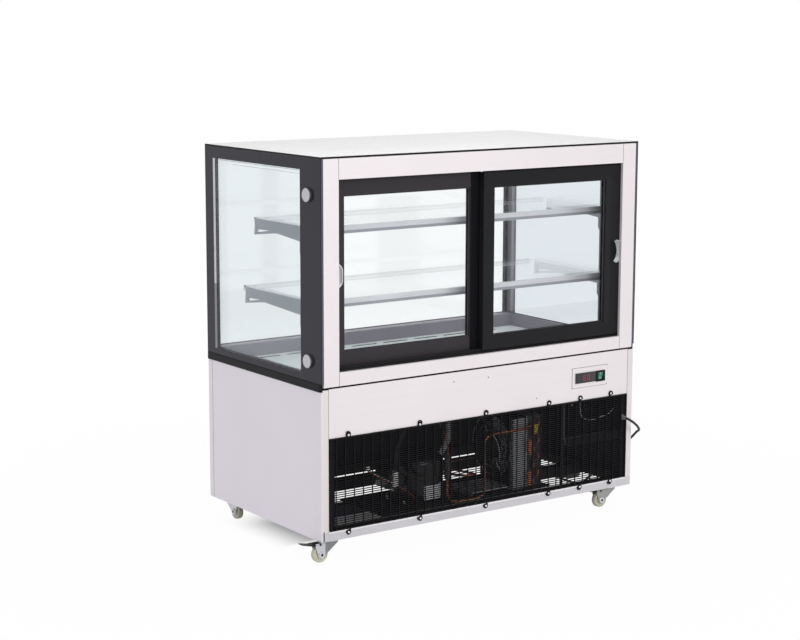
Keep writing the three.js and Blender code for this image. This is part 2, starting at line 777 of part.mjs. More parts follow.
function buildRearFrame() {
  const outerX = [-rearFrameHalf, rearFrameHalf];
  const insideX = [outerX[0] + rearFrameSheet, outerX[1] - rearFrameSheet];
  const insideZ = [frameZ[0] + rearFrameSheet, frameZ[1] - rearFrameSheet];
  const doorwayX = [-doorwayHalf, doorwayHalf];
  const hemX = [doorwayX[0] - rearFrameSheet, doorwayX[1] + rearFrameSheet];
  const hemZ = [doorwayZ[0] - rearFrameSheet, doorwayZ[1] + rearFrameSheet];
  const face = frameXZ(outerX, frameZ, doorwayX, doorwayZ, [rearY, rearY + rearFrameSheet]);
  const hem = frameXZ(hemX, hemZ, doorwayX, doorwayZ, [rearY + 1, rearY + rearFrameLip]);
  const web = frameXZ(outerX, frameZ, insideX, insideZ, [rearY + 1, rearY + rearFrameDepth]);
  const buttons = glassButtonHeights.flatMap((z) => [buildGlassButton(z), mirrorX(buildGlassButton(z))]);
  return join(face, hem, web, ...buttons);
}

piece('rear_frame', buildRearFrame(), stainless());

// Door track: a black profile ring inside the rear frame, grooved above and ridged below
const trackRear = rearY + rearFrameLip + trackClearance;
const trackX = rearFrameHalf - rearFrameSheet - seat;
const trackZ = [frameZ[0] + rearFrameSheet + seat, frameZ[1] - rearFrameSheet - seat];
const trackInnerZ = [doorwayZ[0] + trackFloorRise, doorwayZ[1] + trackCeilingRise];
const outerDoorY = rearY + doorSetback;
const doorFaces = { right: outerDoorY, left: outerDoorY + doorThickness + doorGap };
const doorMiddle = (name) => doorFaces[name] + doorThickness / 2;
const doorZ = [trackInnerZ[0] + doorBottomGap, trackInnerZ[1] - doorTopGap];
const doorGrooveDepth = 4;
const finInset = 4;

function buildTrack() {
  const ring = frameXZ([-trackX, trackX], trackZ, [-trackX + jambWidth, trackX - jambWidth], trackInnerZ,
    [trackRear, trackRear + trackDepth]);
  const runs = [-trackX + 1, trackX - 1];
  const ridges = Object.keys(doorFaces).map((name) => block(runs,
    [doorMiddle(name) - guideWidth / 2, doorMiddle(name) + guideWidth / 2],
    [trackInnerZ[0] - 1, doorZ[0] + doorGrooveDepth - seat]));
  const betweenJambs = [-trackX + jambWidth - 1, trackX - jambWidth + 1];
  const grooves = Object.keys(doorFaces).map((name) => block(betweenJambs,
    [doorMiddle(name) - guideWidth / 2, doorMiddle(name) + guideWidth / 2],
    [trackInnerZ[1] - 1, doorZ[1] + guideHeight + liftOutRoom]));
  return cut(join(ring, ...ridges), ...grooves);
}

piece('door_track', buildTrack(), blackProfile());

// Doors: x runs from the meeting edge at the middle out to the handle edge
const meetingEdge = doorOverlap / 2;

function doorSpan(side, [near, far]) {
  const place = (along) => -side * meetingEdge + side * along;
  return [place(near), place(far)].sort((a, b) => a - b);
}

const doorWidth = doorEdge + meetingEdge;
const apertureOf = ([meeting, handle]) => [meeting, doorWidth - handle];
const apertures = { left: apertureOf(doorStiles.left), right: apertureOf(doorStiles.right) };
const apertureBottom = doorZ[0] + doorBottomRail;
const apertureTop = doorZ[1] - doorTopRail;
const pullCentreHeight = (doorZ[0] + doorZ[1]) / 2 - pullBelowMiddle;
const glassPlanes = (name) =>
  [doorFaces[name] + doorReveal, doorFaces[name] + doorReveal + doorGlassThickness];
const pullInsets = { left: leftPullFromEdge, right: pullFromEdge };

function pullOutline(side, name, inset) {
  const centre = side * (doorEdge - pullInsets[name]);
  const [halfPull, halfTall] = [pullWidth / 2 - inset, pullHeight / 2 - inset];
  return roundedRectangle(centre - halfPull, centre + halfPull,
    pullCentreHeight - halfTall, pullCentreHeight + halfTall, pullCorner - inset);
}

function buildDoorFrame(side, name) {
  const face = doorFaces[name];
  const middle = doorMiddle(name);
  const whole = doorSpan(side, [0, doorWidth]);
  const opening = doorSpan(side, apertures[name]);
  const frame = frameXZ(whole, doorZ, opening, [apertureBottom, apertureTop], [face, face + doorThickness]);
  const halfFin = guideWidth / 2 - runningGap;
  const halfGroove = guideWidth / 2 + runningGap;
  const fin = block([whole[0] + finInset, whole[1] - finInset],
    [middle - halfFin, middle + halfFin], [doorZ[1] - 1, doorZ[1] + guideHeight]);
  const groove = block([whole[0] - 1, whole[1] + 1],
    [middle - halfGroove, middle + halfGroove], [doorZ[0] - 1, doorZ[0] + doorGrooveDepth]);
  const [glassFront, glassRear] = glassPlanes(name);
  const bite = doorGlassBite + seat;
  const rebate = block([opening[0] - bite, opening[1] + bite], [glassFront - seat, glassRear + seat],
    [apertureBottom - bite, apertureTop + bite]);
  const pocket = slabXZ(pullOutline(side, name, 0), [face - 1, face + pullDepth + seat], 4);
  return cut(join(frame, fin), groove, rebate, pocket);
}

function buildDoorGlass(side, name) {
  const opening = doorSpan(side, apertures[name]);
  return block([opening[0] - doorGlassBite, opening[1] + doorGlassBite], glassPlanes(name),
    [apertureBottom - doorGlassBite, apertureTop + doorGlassBite]);
}

function buildPull(side, name) {
  const face = doorFaces[name];
  const cup = slabXZ(pullOutline(side, name, seat), [face - 0.5, face + pullDepth], 4);
  const hollow = slabXZ(pullOutline(side, name, seat + pullWall), [face - 2, face + pullDepth - pullWall], 4);
  return cut(cup, hollow);
}

for (const [side, name] of sideNames) {
  piece(`door_frame_${name}`, buildDoorFrame(side, name), blackProfile());
  piece(`door_glass_${name}`, buildDoorGlass(side, name), clearGlass());
  piece(`door_pull_${name}`, buildPull(side, name), finish(0xc9c9cc, 0.2, 0.9));
}

// Insulated tub under the deck, with the evaporator coil inside
function buildTub() {
  const outside = block([-tubHalf, tubHalf], [tubRearY, tubFrontY], [tubBottom, tubBottom + tubHeight]);
  const hollow = block([-tubHalf + tubWall, tubHalf - tubWall], [tubRearY + tubWall, tubFrontY - tubWall],
    [tubBottom + tubWall, tubBottom + tubHeight + 1]);
  return cut(outside, hollow);
}

piece('insulated_tub', buildTub(), galvanised());

const evaporatorHalf = tubHalf - 120;
const evaporatorDepth = 220;
const evaporatorHeight = 70;
const evaporatorFins = 7;
const evaporatorFinSheet = 3;
const evaporatorTube = 6;
const evaporatorTubePlaces = [[-80, -18], [-27, 18], [27, -18], [80, 18]];

function buildEvaporator() {
  const floor = tubBottom + tubWall + seat;
  const middle = floor + evaporatorHeight / 2;
  const solids = [];
  for (let k = 0; k < evaporatorFins; k += 1) {
    const x = -evaporatorHalf + k * (2 * evaporatorHalf - evaporatorFinSheet) / (evaporatorFins - 1);
    solids.push(block([x, x + evaporatorFinSheet], [-evaporatorDepth / 2, evaporatorDepth / 2],
      [floor, floor + evaporatorHeight]));
  }
  for (const [y, rise] of evaporatorTubePlaces) {
    const straight = rod(evaporatorTube, 2 * evaporatorHalf - 2, 'x', 5);
    solids.push(straight.translate(1 - evaporatorHalf, y, middle + rise));
  }
  return join(...solids);
}

piece('evaporator_coil', buildEvaporator(), finish(0xc4c6c8, 0.4, 0.8));

// Display deck with the air slots along its front and rear, and the dark skirt round it
const deckHalf = halfWidth - mouldingBand - seat;
const deckRear = mouldingRear + mouldingRearBand + seat;
const deckFront = frontY - mouldingFrontBand - seat;
const slotCount = 8;
const slotWidth = 100;
const slotDepth = 16;

function buildDeck() {
  const plate = block([-deckHalf, deckHalf], [deckRear, deckFront], [baseTop - deckThickness, baseTop]);
  const underside = block([-tubHalf + tubWall, tubHalf - tubWall], [tubRearY + tubWall, tubFrontY - tubWall],
    [baseTop - deckThickness - 1, baseTop - deckSheet]);
  const slots = [];
  for (let k = 0; k < slotCount; k += 1) {
    const x = (k - (slotCount - 1) / 2) * (slotWidth + 24);
    for (const y of [deckRear + 30, deckFront - skirtFrontDepth - 30]) {
      slots.push(block([x - slotWidth / 2, x + slotWidth / 2], [y - slotDepth / 2, y + slotDepth / 2],
        [baseTop - deckThickness - 1, baseTop + 1]));
    }
  }
  return cut(plate, underside, ...slots);
}

piece('display_deck', buildDeck(), stainless());

const skirtRear = rearY + rearFrameDepth + 8;

function buildSkirt() {
  const inner = deckHalf - skirtWall;
  const shape = outline([
    [-deckHalf, skirtRear], [-inner, skirtRear], [-inner, deckFront - skirtFrontDepth],
    [inner, deckFront - skirtFrontDepth], [inner, skirtRear], [deckHalf, skirtRear],
    [deckHalf, deckFront], [-deckHalf, deckFront]]);
  return slabXY(shape, [baseTop + seat, baseTop + skirtHeight]);
}

piece('inner_skirt', buildSkirt(), blackProfile());

// Shelf posts: channels standing on the deck beside the skirt
const postOuter = deckHalf - skirtWall - seat;
const postFront = postRearY + postDepth;

function buildShelfPost() {
  const [outer, inner] = [-postOuter, -postOuter + postWidth];
  const web = postFront - postSheet;
  const shape = outline([
    [outer, postRearY], [outer + postSheet, postRearY], [outer + postSheet, web],
    [inner - postSheet, web], [inner - postSheet, postRearY],
    [inner, postRearY], [inner, postFront], [outer, postFront]]);
  return slabXY(shape, [baseTop + seat, glassTop - seat]);
}

for (const [side, name] of sideNames) {
  piece(`shelf_post_${name}`, sided(side, buildShelfPost()), finish(0x5a5f6b, 0.4, 0.6));
}

// Shelf frames: two brackets that hook on the posts, a rear rail and the front light bar
function buildBracket({ top, bracketEnd, waistFromEnd, glassFront }) {
  const hang = postFront + seat;
  const shape = outline([
    [hang, top], [bracketEnd, top], [bracketEnd + 5, top - bracketFront],
    [bracketEnd - waistFromEnd, top - bracketWaist], [hang + bracketHookWidth, top - bracketWaist - 11],
    [hang + bracketHookWidth, top - bracketHook + 8], [hang + bracketHookWidth - 8, top - bracketHook],
    [hang, top - bracketHook]]);
  const foot = top - bracketFront;
  shape.holes.push(outline([
    [bracketEnd - 8, foot + 8], [bracketEnd - 10, foot + 18], [bracketEnd - 82, foot + 20]]));
  const plate = slabYZ(shape, [-postOuter, -postOuter + bracketPlate]);
  const reach = -postOuter + bracketPlate + bracketFlange;
  const besidePost = -postOuter + postWidth + seat;
  const ledge = block([-postOuter, reach], [hang, bracketEnd], [top - bracketPlate, top]);
  const tail = block([besidePost, reach], [postRearY, hang + 1], [top - bracketPlate, top]);
  const nose = slabYZ(outline([[bracketEnd - 3, top - 1], [bracketEnd, top - 1],
    [bracketEnd + 5, top - bracketFront], [bracketEnd + 2, top - bracketFront]]),
    [-postOuter, -postOuter + bracketFlange / 2]);
  const arm = block([-postOuter + bracketFlange / 2, reach], [bracketEnd - 2, glassFront - 2],
    [top - bracketPlate, top]);
  return join(plate, ledge, tail, nose, arm);
}

function buildShelfFrame(shelf) {
  const bracket = buildBracket(shelf);
  const inside = postOuter - postWidth - seat;
  const rail = block([-inside, inside], [postRearY, postRearY + railWidth],
    [shelf.top - railHeight, shelf.top - 1]);
  const barX = postOuter - bracketFlange / 2;
  const bar = block([-barX, barX], [shelf.glassFront - lightBarWidth, shelf.glassFront],
    [shelf.top - lightBarHeight, shelf.top - 1]);
  return join(bracket, mirrorX(bracket), rail, bar);
}

function buildShelfGlass(shelf) {
  const half = postOuter - postWidth - 3;
  return block([-half, half], [postRearY, shelf.glassFront],
    [shelf.top + seat, shelf.top + seat + shelfGlassThickness]);
}

for (const shelf of shelves) {
  piece(`shelf_frame_${shelf.name}`, buildShelfFrame(shelf), finish(0x9a9ca6, 0.35, 0.8));
  piece(`shelf_glass_${shelf.name}`, buildShelfGlass(shelf), clearGlass());
}

// Condensing unit: its plate with the folded stand, lying on the base frame's bars
const unitFloor = baseBottom + sillHeight + seat;
const unitTop = unitFloor + unitPlateThickness;

function buildUnitPlate() {
  const [x0, x1, y0, y1] = unitPlate;
  const plate = block([x0, x1], [y0, y1], [unitFloor, unitTop]);
  const flange = block([x0, x1], [y0, y0 + unitPlateThickness], [unitFloor, unitTop + unitFlangeHeight]);
  const [sx0, sx1, sy0, sy1] = standBox;
  const stand = cut(block([sx0, sx1], [sy0, sy1], [unitTop - 1, unitTop + standHeight]),
    block([sx0 + 2, sx1 - 2], [sy0 - 1, sy1 + 1], [unitTop - 2, unitTop + standHeight - 2]));
  return join(plate, flange, stand);
}

piece('unit_base_plate', buildUnitPlate(), galvanised());

// Compressor: domed shell with its seam, foot plate on rubber feet, relay box and discharge tube
function buildCompressor() {
  const [cx, cy] = compressorCentre;
  const radius = compressorRadius;
  const foot = unitTop + seat;
  const low = foot + 8;
  const dome = compressorTop;
  const shellProfile = [
    [0, low], [radius - 22, low], [radius - 6, low + 8], [radius, low + 22],
    [radius, low + 78], [radius + 3, low + 79], [radius + 3, low + 86], [radius, low + 87],
    [radius, dome - 42], [radius - 6, dome - 24], [radius - 24, dome - 8],
    [radius - 50, dome - 1], [0, dome]];
  const shell = turned(shellProfile, 'z', 22).translate(cx, cy, 0);
  const plate = block([cx - 95, cx + 95], [cy - 60, cy + 60], [foot + 5, low + 1]);
  const feet = [[-82, -46], [82, -46], [-82, 46], [82, 46]].map(([dx, dy]) =>
    rod(10, 6, 'z', 8).translate(cx + dx, cy + dy, foot));
  const relay = block([cx - radius - 58, cx - radius + 12], [cy - 42, cy + 30], [low + 50, low + 118]);
  const level = baseBottom + 88;
  const discharge = tube([
    [cx + 72, cy - 10, level + 20], [cx + 100, cy - 66, level + 23], [cx + 122, cy - 94, level + 23],
    [cx + 150, cy - 92, level + 22], [cx + 164, cy - 66, level + 18], [cx + 176, cy - 10, level + 10],
    [cx + 186, cy + 80, level + 2], [cx + 226, cy + 150, level], [cx + 330, cy + 166, level],
    [cx + 374, cy + 162, level], [cx + 386, cy + 154, level],
    [cx + 387, coilBox[3] + pipeEndGap, level]], 4, 6, 22);
  return join(shell, plate, ...feet, relay, discharge);
}

piece('compressor', buildCompressor(), blackProfile());

// Condenser coil: finned block between end plates, with copper return bends on the near end
function buildCondenserCoil() {
  const [x0, x1, y0, y1, z1] = coilBox;
  const z0 = unitTop + seat;
  const core = block([x0 + finDepth, x1 - finDepth], [y0, y1], [z0 + 3, z1]);
  const solids = [core];
  for (let y = y0; y < y1; y += finPitch) {
    solids.push(block([x0, x1], [y, y + 2], [z0, z1]));
  }
  solids.push(block([x0, x1], [y1 - 2, y1], [z0, z1]));
  const rise = (z1 - z0 - 20) / bendCount;
  for (let k = 0; k < bendCount; k += 1) {
    const arc = [];
    const z = z0 + 10 + (k + 0.5) * rise;
    const x = k % 2 ? x1 - 18 : x0 + 18;
    for (let step = 0; step <= 6; step += 1) {
      const angle = Math.PI * step / 6;
      arc.push([x, y0 - bendRadius * Math.sin(angle), z - bendRadius * Math.cos(angle)]);
    }
    arc.unshift([x, y0 + 4, z - bendRadius]);
    arc.push([x, y0 + 4, z + bendRadius]);
    solids.push(tube(arc, bendTube, 5, 9));
  }
  return join(...solids);
}

piece('condenser_coil', buildCondenserCoil(), finish(0xb8b9bd, 0.4, 0.7));

// Fan shroud: a plate on the coil, the ring round the fan and the motor on its arms
const shroudBack = coilBox[0] - seat;

function buildShroud() {
  const [y, z] = fanCentre;
  const [, , y0, y1, z1] = coilBox;
  const plate = block([shroudBack - shroudSheet, shroudBack], [y0, y1], [unitTop + seat, z1]);
  const ringFrom = shroudBack - shroudLength;
  const ring = rod(shroudRadius + shroudSheet, shroudLength, 'x', 32).translate(ringFrom, y, z);
  const bore = rod(shroudRadius, shroudLength + 4, 'x', 32).translate(ringFrom - 2, y, z);
  const motor = rod(motorRadius, motorLength, 'x', 20).translate(ringFrom - motorLength + motorInRing, y, z);
  const arms = [90, 210, 330].map((degrees) =>
    block([ringFrom, ringFrom + motorInRing], [-8, 8], [motorRadius - 8, shroudRadius + 1])
    .rotateX(THREE.MathUtils.degToRad(degrees)).translate(0, y, z));
  return join(cut(join(plate, ring), bore), motor, ...arms);
}

piece('fan_shroud', buildShroud(), blackSteel());

// Condenser fan: pitched blades on a hub, whose shaft runs up to the motor's face, turning about X
const motorFace = shroudBack - shroudLength + motorInRing;
const fanX = shroudBack - shroudLength / 2 + motorInRing;
const fanShaftRadius = 4;

const hubRadius = 22;
const hubLength = 20;
const bladePitch = THREE.MathUtils.degToRad(24);

function buildFan() {
  const hubFrom = -hubLength / 2;
  const hub = rod(hubRadius, hubLength, 'x', 16).translate(hubFrom, 0, 0);
  const shaftFrom = motorFace + seat - fanX;
  const shaft = rod(fanShaftRadius, hubFrom + 1 - shaftFrom, 'x', 8).translate(shaftFrom, 0, 0);
  const root = hubRadius - 4;
  const bladeShape = outline([
    [-14, root], [12, root], [26, fanRadius - 8], [10, fanRadius], [-22, fanRadius - 10]]);
  const blades = [];
  for (let k = 0; k < bladeCount; k += 1) {
    const blade = slabYZ(bladeShape, [-1, 1]).rotateZ(bladePitch);
    blades.push(blade.rotateX(k * 2 * Math.PI / bladeCount));
  }
  return join(hub, shaft, ...blades);
}

const fan = piece('condenser_fan', buildFan(), galvanised());
fan.position.set(fanX, ...fanCentre);

// Liquid line with its filter drier, from the coil down, along the plate and up to the tub
const lineInset = 33;
const drierX = -122;
const inBay = ([x, inset, rise]) => [x, rearY + inset, baseBottom + rise];

function buildLiquidLine() {
  const x0 = coilBox[0];
  const alongRear = [
    [x0 - 12, 236], [172, 234], [60, 231], [32, 228], [22, 216], [22, 130], [22, 60],
    [16, 45], [0, 40], [-60, 40], [-98, 41], [-116, 50], [drierX, 70], [drierX, 114]];
  const line = tube([
    [x0 + 12, coilBox[2] - pipeEndGap, baseBottom + 241],
    inBay([x0 + 12, 40, 241]),
    inBay([x0 + 4, 34, 239]),
    ...alongRear.map(([x, rise]) => inBay([x, lineInset, rise]))], 3.4, 6, 17);
  const drier = turned([[0, 0], [4, 0], [11, 8], [11, 78], [4, 88], [0, 88]], 'z', 10)
    .translate(...inBay([drierX, lineInset, 110]));
  const riser = tube([
    inBay([drierX, lineInset, 194]), inBay([drierX, lineInset, 220]), inBay([-128, 37, 250]),
    inBay([-132, 61, 280]), inBay([-132, 63, 296]),
    [-132, rearY + 63, tubBottom - pipeEndGap]], 2.5, 6, 18);
  return join(line, drier, riser);
}

piece('liquid_line', buildLiquidLine(), copper());

// Suction line in its foam sleeve, from the tub down to the compressor
const underTub = ([x, inset, drop]) => [x, rearY + inset, tubBottom - drop];
const suctionLine = tube([
  underTub([-232, 68, pipeEndGap]), underTub([-232, 68, 8.7]), underTub([-258, 66, 34.7]),
  underTub([-284, 64, 66.7]), underTub([-293, 62, 106.7]), inBay([-288, 58, 172]),
  inBay([-262, 54, 144]), inBay([-232, 62, 133]), inBay([-213.5, 72.5, 130])], 8, 8, 18);
piece('suction_line', suctionLine, rubber());

// Casters: a fork that swivels on its bearing, and a wheel on the fork's axle
function forkCheek(side) {
  const nearX = -bearingRadius + 2;
  const shape = new THREE.Shape();
  shape.moveTo(nearX, casterHeight - bearingHeight - 4);
  shape.lineTo(casterTrail - 11, wheelRadius - 4);
  shape.absarc(casterTrail, wheelRadius, 11.7, 1.11 * Math.PI, 2 * Math.PI, false);
  shape.lineTo(casterTrail + 20, casterHeight - bearingHeight - 8);
  shape.lineTo(casterTrail + 20, casterHeight - bearingHeight);
  shape.lineTo(nearX, casterHeight - bearingHeight);
  const from = side * (forkGap / 2 + forkSheet / 2) - forkSheet / 2;
  return slabXZ(shape, [from, from + forkSheet], 5);
}

function buildFork() {
  const top = casterHeight - seat;
  const plateTop = casterHeight - bearingHeight;
  const bearing = turned([[0, plateTop - 1], [bearingRadius - 3, plateTop - 1], [bearingRadius, plateTop + 3],
    [bearingRadius, top - 2], [bearingRadius - 2, top], [0, top]], 'z', 16);
  const cheekOuter = forkGap / 2 + forkSheet;
  const bridge = block([-bearingRadius + 2, bearingRadius + 3], [-cheekOuter, cheekOuter],
    [plateTop - 4, plateTop]);
  const axle = rod(axleRadius, forkGap + 2 * forkSheet + 6, 'y', 8)
    .translate(casterTrail, -forkGap / 2 - forkSheet - 3, wheelRadius);
  return join(bearing, bridge, forkCheek(-1), forkCheek(1), axle);
}

// The tread is a many-sided ring that stands on one of its flats
const treadSides = 20;

function buildWheel() {
  const bore = axleRadius + seat;
  const outer = wheelRadius / Math.cos(Math.PI / treadSides);
  const half = wheelWidth / 2;
  const profile = [[bore, -half - 1], [9, -half - 1], [10, -half + 2], [outer - 2, -half], [outer, -half + 3],
    [outer, half - 3], [outer - 2, half], [10, half - 2], [9, half + 1], [bore, half + 1], [bore, -half - 1]];
  return turned(profile, 'y', treadSides).rotateY(Math.PI / treadSides);
}

// Brake pedal over the wheel of each rear caster, tipping about its pin behind the tread
const pedalBehindAxle = 12;
const pedalLength = 54;
const pedalPivot = [casterTrail + pedalBehindAxle, casterHeight - 15];

function buildPedal() {
  const half = forkGap / 2 - seat - 0.5;
  const shape = outline([[-7, -1.5], [8, -3], [30, 2], [pedalLength, 8],
    [pedalLength, 11], [28, 6], [6, 5], [-7, 3.5]]);
  return slabXZ(shape, [-half, half]);
}

const casterX = halfWidth - casterInsetX;
const casterRearY = rearY + casterInsetRear;
const casterFrontY = frontY - casterInsetFront;
const casterPlaces = [
  { name: 'rear_left', x: -casterX, y: casterRearY, heading: 180, braked: true },
  { name: 'rear_right', x: casterX, y: casterRearY, heading: 180, braked: true },
  { name: 'front_left', x: -casterX, y: casterFrontY, heading: -90, braked: false },
  { name: 'front_right', x: casterX, y: casterFrontY, heading: -90, braked: false },
];

for (const { name, x, y, heading, braked } of casterPlaces) {
  const caster = new THREE.Group();
  caster.position.set(x, y, 0);
  caster.rotation.z = THREE.MathUtils.degToRad(heading);
  displayCase.add(caster);
  piece(`caster_fork_${name}`, buildFork(), finish(0xc8cacc, 0.3, 0.9), caster);
  const wheel = piece(`caster_wheel_${name}`, buildWheel(), palePlastic(), caster);
  wheel.position.set(casterTrail, 0, wheelRadius);
  if (braked) {
    const pedal = piece(`brake_pedal_${name}`, buildPedal(), blackProfile(), caster);
    pedal.position.set(pedalPivot[0], 0, pedalPivot[1]);
  }
}

// Cord gland on the rear right post's lip
const glandFrom = lipY - seat;
const glandLength = 17;

function buildGland() {
  const profile = [[0, 0], [9, 0], [9, -4], [7.5, -5], [7.5, -10], [5.4, -glandLength], [0, -glandLength]];
  return turned(profile, 'y', 12).translate(glandCentre[0], glandFrom, glandCentre[1]);
}

piece('cord_gland', buildGland(), palePlastic());

// Cord coil: one tube that spirals in on the floor, climbs a layer and spirals out again
const coilOuter = coilMeanRadius + coilPitch * coilTurns / 4;

function coilPath() {
  const points = [];
  const steps = coilTurns * loopSteps;
  const middle = coilTurns / 2;
  for (let k = 0; k <= steps; k += 1) {
    const turn = k / loopSteps;
    const radius = coilOuter - coilPitch * (middle - Math.abs(turn - middle));
    const climb = THREE.MathUtils.smoothstep(turn, middle - 0.25, middle + 0.25);
    const angle = Math.PI - 2 * Math.PI * turn;
    points.push(new THREE.Vector3(
      coilCentre[0] + radius * Math.cos(angle),
      coilCentre[1] + radius * Math.sin(angle),
      cordRadius + floorGap + coilLayer * climb));
  }
  const lead = 2 * cordRadius;
  const plugLead = 4 * lead;
  const [first, last] = [points[0], points[points.length - 1]];
  points.unshift(new THREE.Vector3(first.x, first.y - lead, first.z));
  points.push(new THREE.Vector3(last.x, last.y + plugLead, last.z));
  return points;
}

function sweep(points, radius, sides) {
  const vertices = [];
  const index = [];
  points.forEach((point, k) => {
    const before = points[Math.max(k - 1, 0)];
    const after = points[Math.min(k + 1, points.length - 1)];
    const ahead = after.clone().sub(before).normalize();
    if (k === 1 || k === points.length - 2) ahead.set(ahead.x / 4, ahead.y, ahead.z / 4).normalize();
    const across = new THREE.Vector3(ahead.y, -ahead.x, 0).normalize();
    const above = new THREE.Vector3().crossVectors(across, ahead);
    for (let side = 0; side < sides; side += 1) {
      const angle = 2 * Math.PI * (side + 0.5) / sides;
      const corner = point.clone().addScaledVector(across, radius * Math.cos(angle))
        .addScaledVector(above, radius * Math.sin(angle));
      vertices.push(corner.x, corner.y, corner.z);
    }
  });
  for (let k = 0; k + 1 < points.length; k += 1) {
    for (let side = 0; side < sides; side += 1) {
      const [a, b] = [k * sides + side, k * sides + (side + 1) % sides];
      index.push(a, b, a + sides, b, b + sides, a + sides);
    }
  }
  const lastRing = (points.length - 1) * sides;
  for (let side = 1; side + 1 < sides; side += 1) {
    index.push(0, side + 1, side, lastRing, lastRing + side, lastRing + side + 1);
  }
  const geometry = new THREE.BufferGeometry();
  geometry.setAttribute('position', new THREE.Float32BufferAttribute(vertices, 3));
  geometry.setIndex(index);
  return geometry;
}

function pathLength(points) {
  let length = 0;
  for (let k = 1; k < points.length; k += 1) length += points[k].distanceTo(points[k - 1]);
  return length;
}

function leastGap(points) {
  let least = Infinity;
  for (let a = 0; a < points.length; a += 1) {
    for (let b = a + loopSteps / 2; b < points.length; b += 1) {
      const reach = points[b].clone().sub(points[a]);
      const next = points[Math.min(b + 1, points.length - 1)].clone().sub(points[b]);
      const share = next.lengthSq() > 0 ? THREE.MathUtils.clamp(-reach.dot(next) / next.lengthSq(), 0, 1) : 0;
      least = Math.min(least, reach.addScaledVector(next, share).length());
    }
  }
  return least - 2 * cordRadius;
}

const coilPoints = coilPath();
piece('cord_coil', sweep(coilPoints, cordRadius, loopSides), rubber());

// Free cord: out of the gland, round the rear right corner, down the side and along the floor
const cordStart = [glandCentre[0], glandFrom - glandLength - pipeEndGap, glandCentre[1]];
const coilStart = coilPoints[0];
const cordPoints = [
  cordStart,
  [cordStart[0], cordStart[1] - 9, cordStart[2]],
  [566, -357, 291],
  [580, -354, 275],
  [596, -343, 258],
  [606, -330, 244],
  [608, -314, 226],
  [606, -290, 200],
  [606, -250, 160],
  [606, -205, 118],
  [607, -150, 68],
  [609, -110, 30],
  [613, -75, 11],
  [619, -38, 5.4],
  [624, 0, 4.4],
  [coilStart.x, 30, coilStart.z],
  [coilStart.x, coilStart.y - 20, coilStart.z],
  [coilStart.x, coilStart.y - seat, coilStart.z],
];
piece('cord_free', tube(cordPoints, cordRadius, cordSides, 2.5 * 2 * cordRadius), rubber());

// Plug at the coil's upper end: strain relief, moulded body and two round pins
const coilEnd = coilPoints[coilPoints.length - 1];

function buildPlug() {
  const relief = turned([[0, 0], [5, 0], [7.5, 22], [0, 22]], 'y', 12);
  const halfHigh = coilEnd.z - floorGap;
  const body = slabXZ(roundedRectangle(-17, 17, -halfHigh, halfHigh, 9), [20, 56], 4);
  const pins = [-9.5, 9.5].map((x) => rod(2.4, 21, 'y', 10).translate(x, 54, 0));
  return join(relief, body, ...pins);
}

const plug = piece('cord_plug', buildPlug(), rubber());
plug.position.set(coilEnd.x, coilEnd.y + seat, coilEnd.z);

// The rear left brake pedal reaches past the left glass buttons, so the middle of the box, cord left
// out, lies left of the cabinet's middle
const pedalTip = -casterX - casterTrail - pedalBehindAxle - pedalLength;
const rightButtonFace = halfWidth + glassButtonProud;
displayCase.position.x = -(pedalTip + rightButtonFace) / 2;
console.log('moved along X by', displayCase.position.x, 'mm');

const cordCorners = cordPoints.map((point) => new THREE.Vector3(...point));
const freeLength = new THREE.CatmullRomCurve3(cordCorners, false, 'centripetal').getLength();
console.log('least gap of the coil to itself', leastGap(coilPoints).toFixed(2), 'mm');
console.log('cord length', (freeLength + pathLength(coilPoints)).toFixed(0), 'of', cordLength, 'mm');

export default displayCase;
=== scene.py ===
# %% [markdown]
# # A refrigerated bakery display case
# The case stands on four casters and is seen from the staff side, where two glass doors slide in a
# steel frame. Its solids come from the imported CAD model. This lesson gives them their finishes and
# adds the small things a modeller would miss: the cord, the compressor's shell, seals, screws,
# wires and the lit strips under the shelves. All lengths are in metres.

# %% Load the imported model
import json
import math
import bmesh
import bpy
from mathutils import Matrix, Vector


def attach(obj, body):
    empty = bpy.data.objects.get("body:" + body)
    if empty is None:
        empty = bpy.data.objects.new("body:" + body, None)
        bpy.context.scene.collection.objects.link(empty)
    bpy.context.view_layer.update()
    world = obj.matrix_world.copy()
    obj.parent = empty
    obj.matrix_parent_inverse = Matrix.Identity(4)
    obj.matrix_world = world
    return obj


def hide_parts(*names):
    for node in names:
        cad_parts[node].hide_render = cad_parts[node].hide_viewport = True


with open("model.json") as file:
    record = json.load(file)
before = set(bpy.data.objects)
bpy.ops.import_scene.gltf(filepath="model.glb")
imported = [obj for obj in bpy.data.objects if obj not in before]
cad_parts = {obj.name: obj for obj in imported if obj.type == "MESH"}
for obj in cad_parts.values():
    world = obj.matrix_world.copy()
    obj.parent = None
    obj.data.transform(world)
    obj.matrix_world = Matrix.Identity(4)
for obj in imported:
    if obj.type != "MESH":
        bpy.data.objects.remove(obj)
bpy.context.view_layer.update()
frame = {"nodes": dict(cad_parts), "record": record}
nodes = frame["nodes"]

# %% [markdown]
# ## One place for every length
# The drawing of the cabinet is measured in millimetres from its own middle. One brake pedal reaches
# past the left side, so the whole case stands 20 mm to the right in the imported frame. A single
# function turns a drawn place into a place in the scene, which keeps that shift out of every line.

# %% From the drawing to the scene
cabinet_middle = 0.020


def at(x, y, z):
    return Vector((x / 1000 + cabinet_middle, y / 1000, z / 1000))


print("cabinet's middle at x", cabinet_middle)

# %% [markdown]
# ## The camera
# The photograph was taken from behind the left rear corner, a little above the case, with a long
# lens. The place and the turn were worked out from the case's straight edges, so the same corners
# land on the same pixels. The lens is given for a 36 mm wide sensor and an 800 by 640 picture.

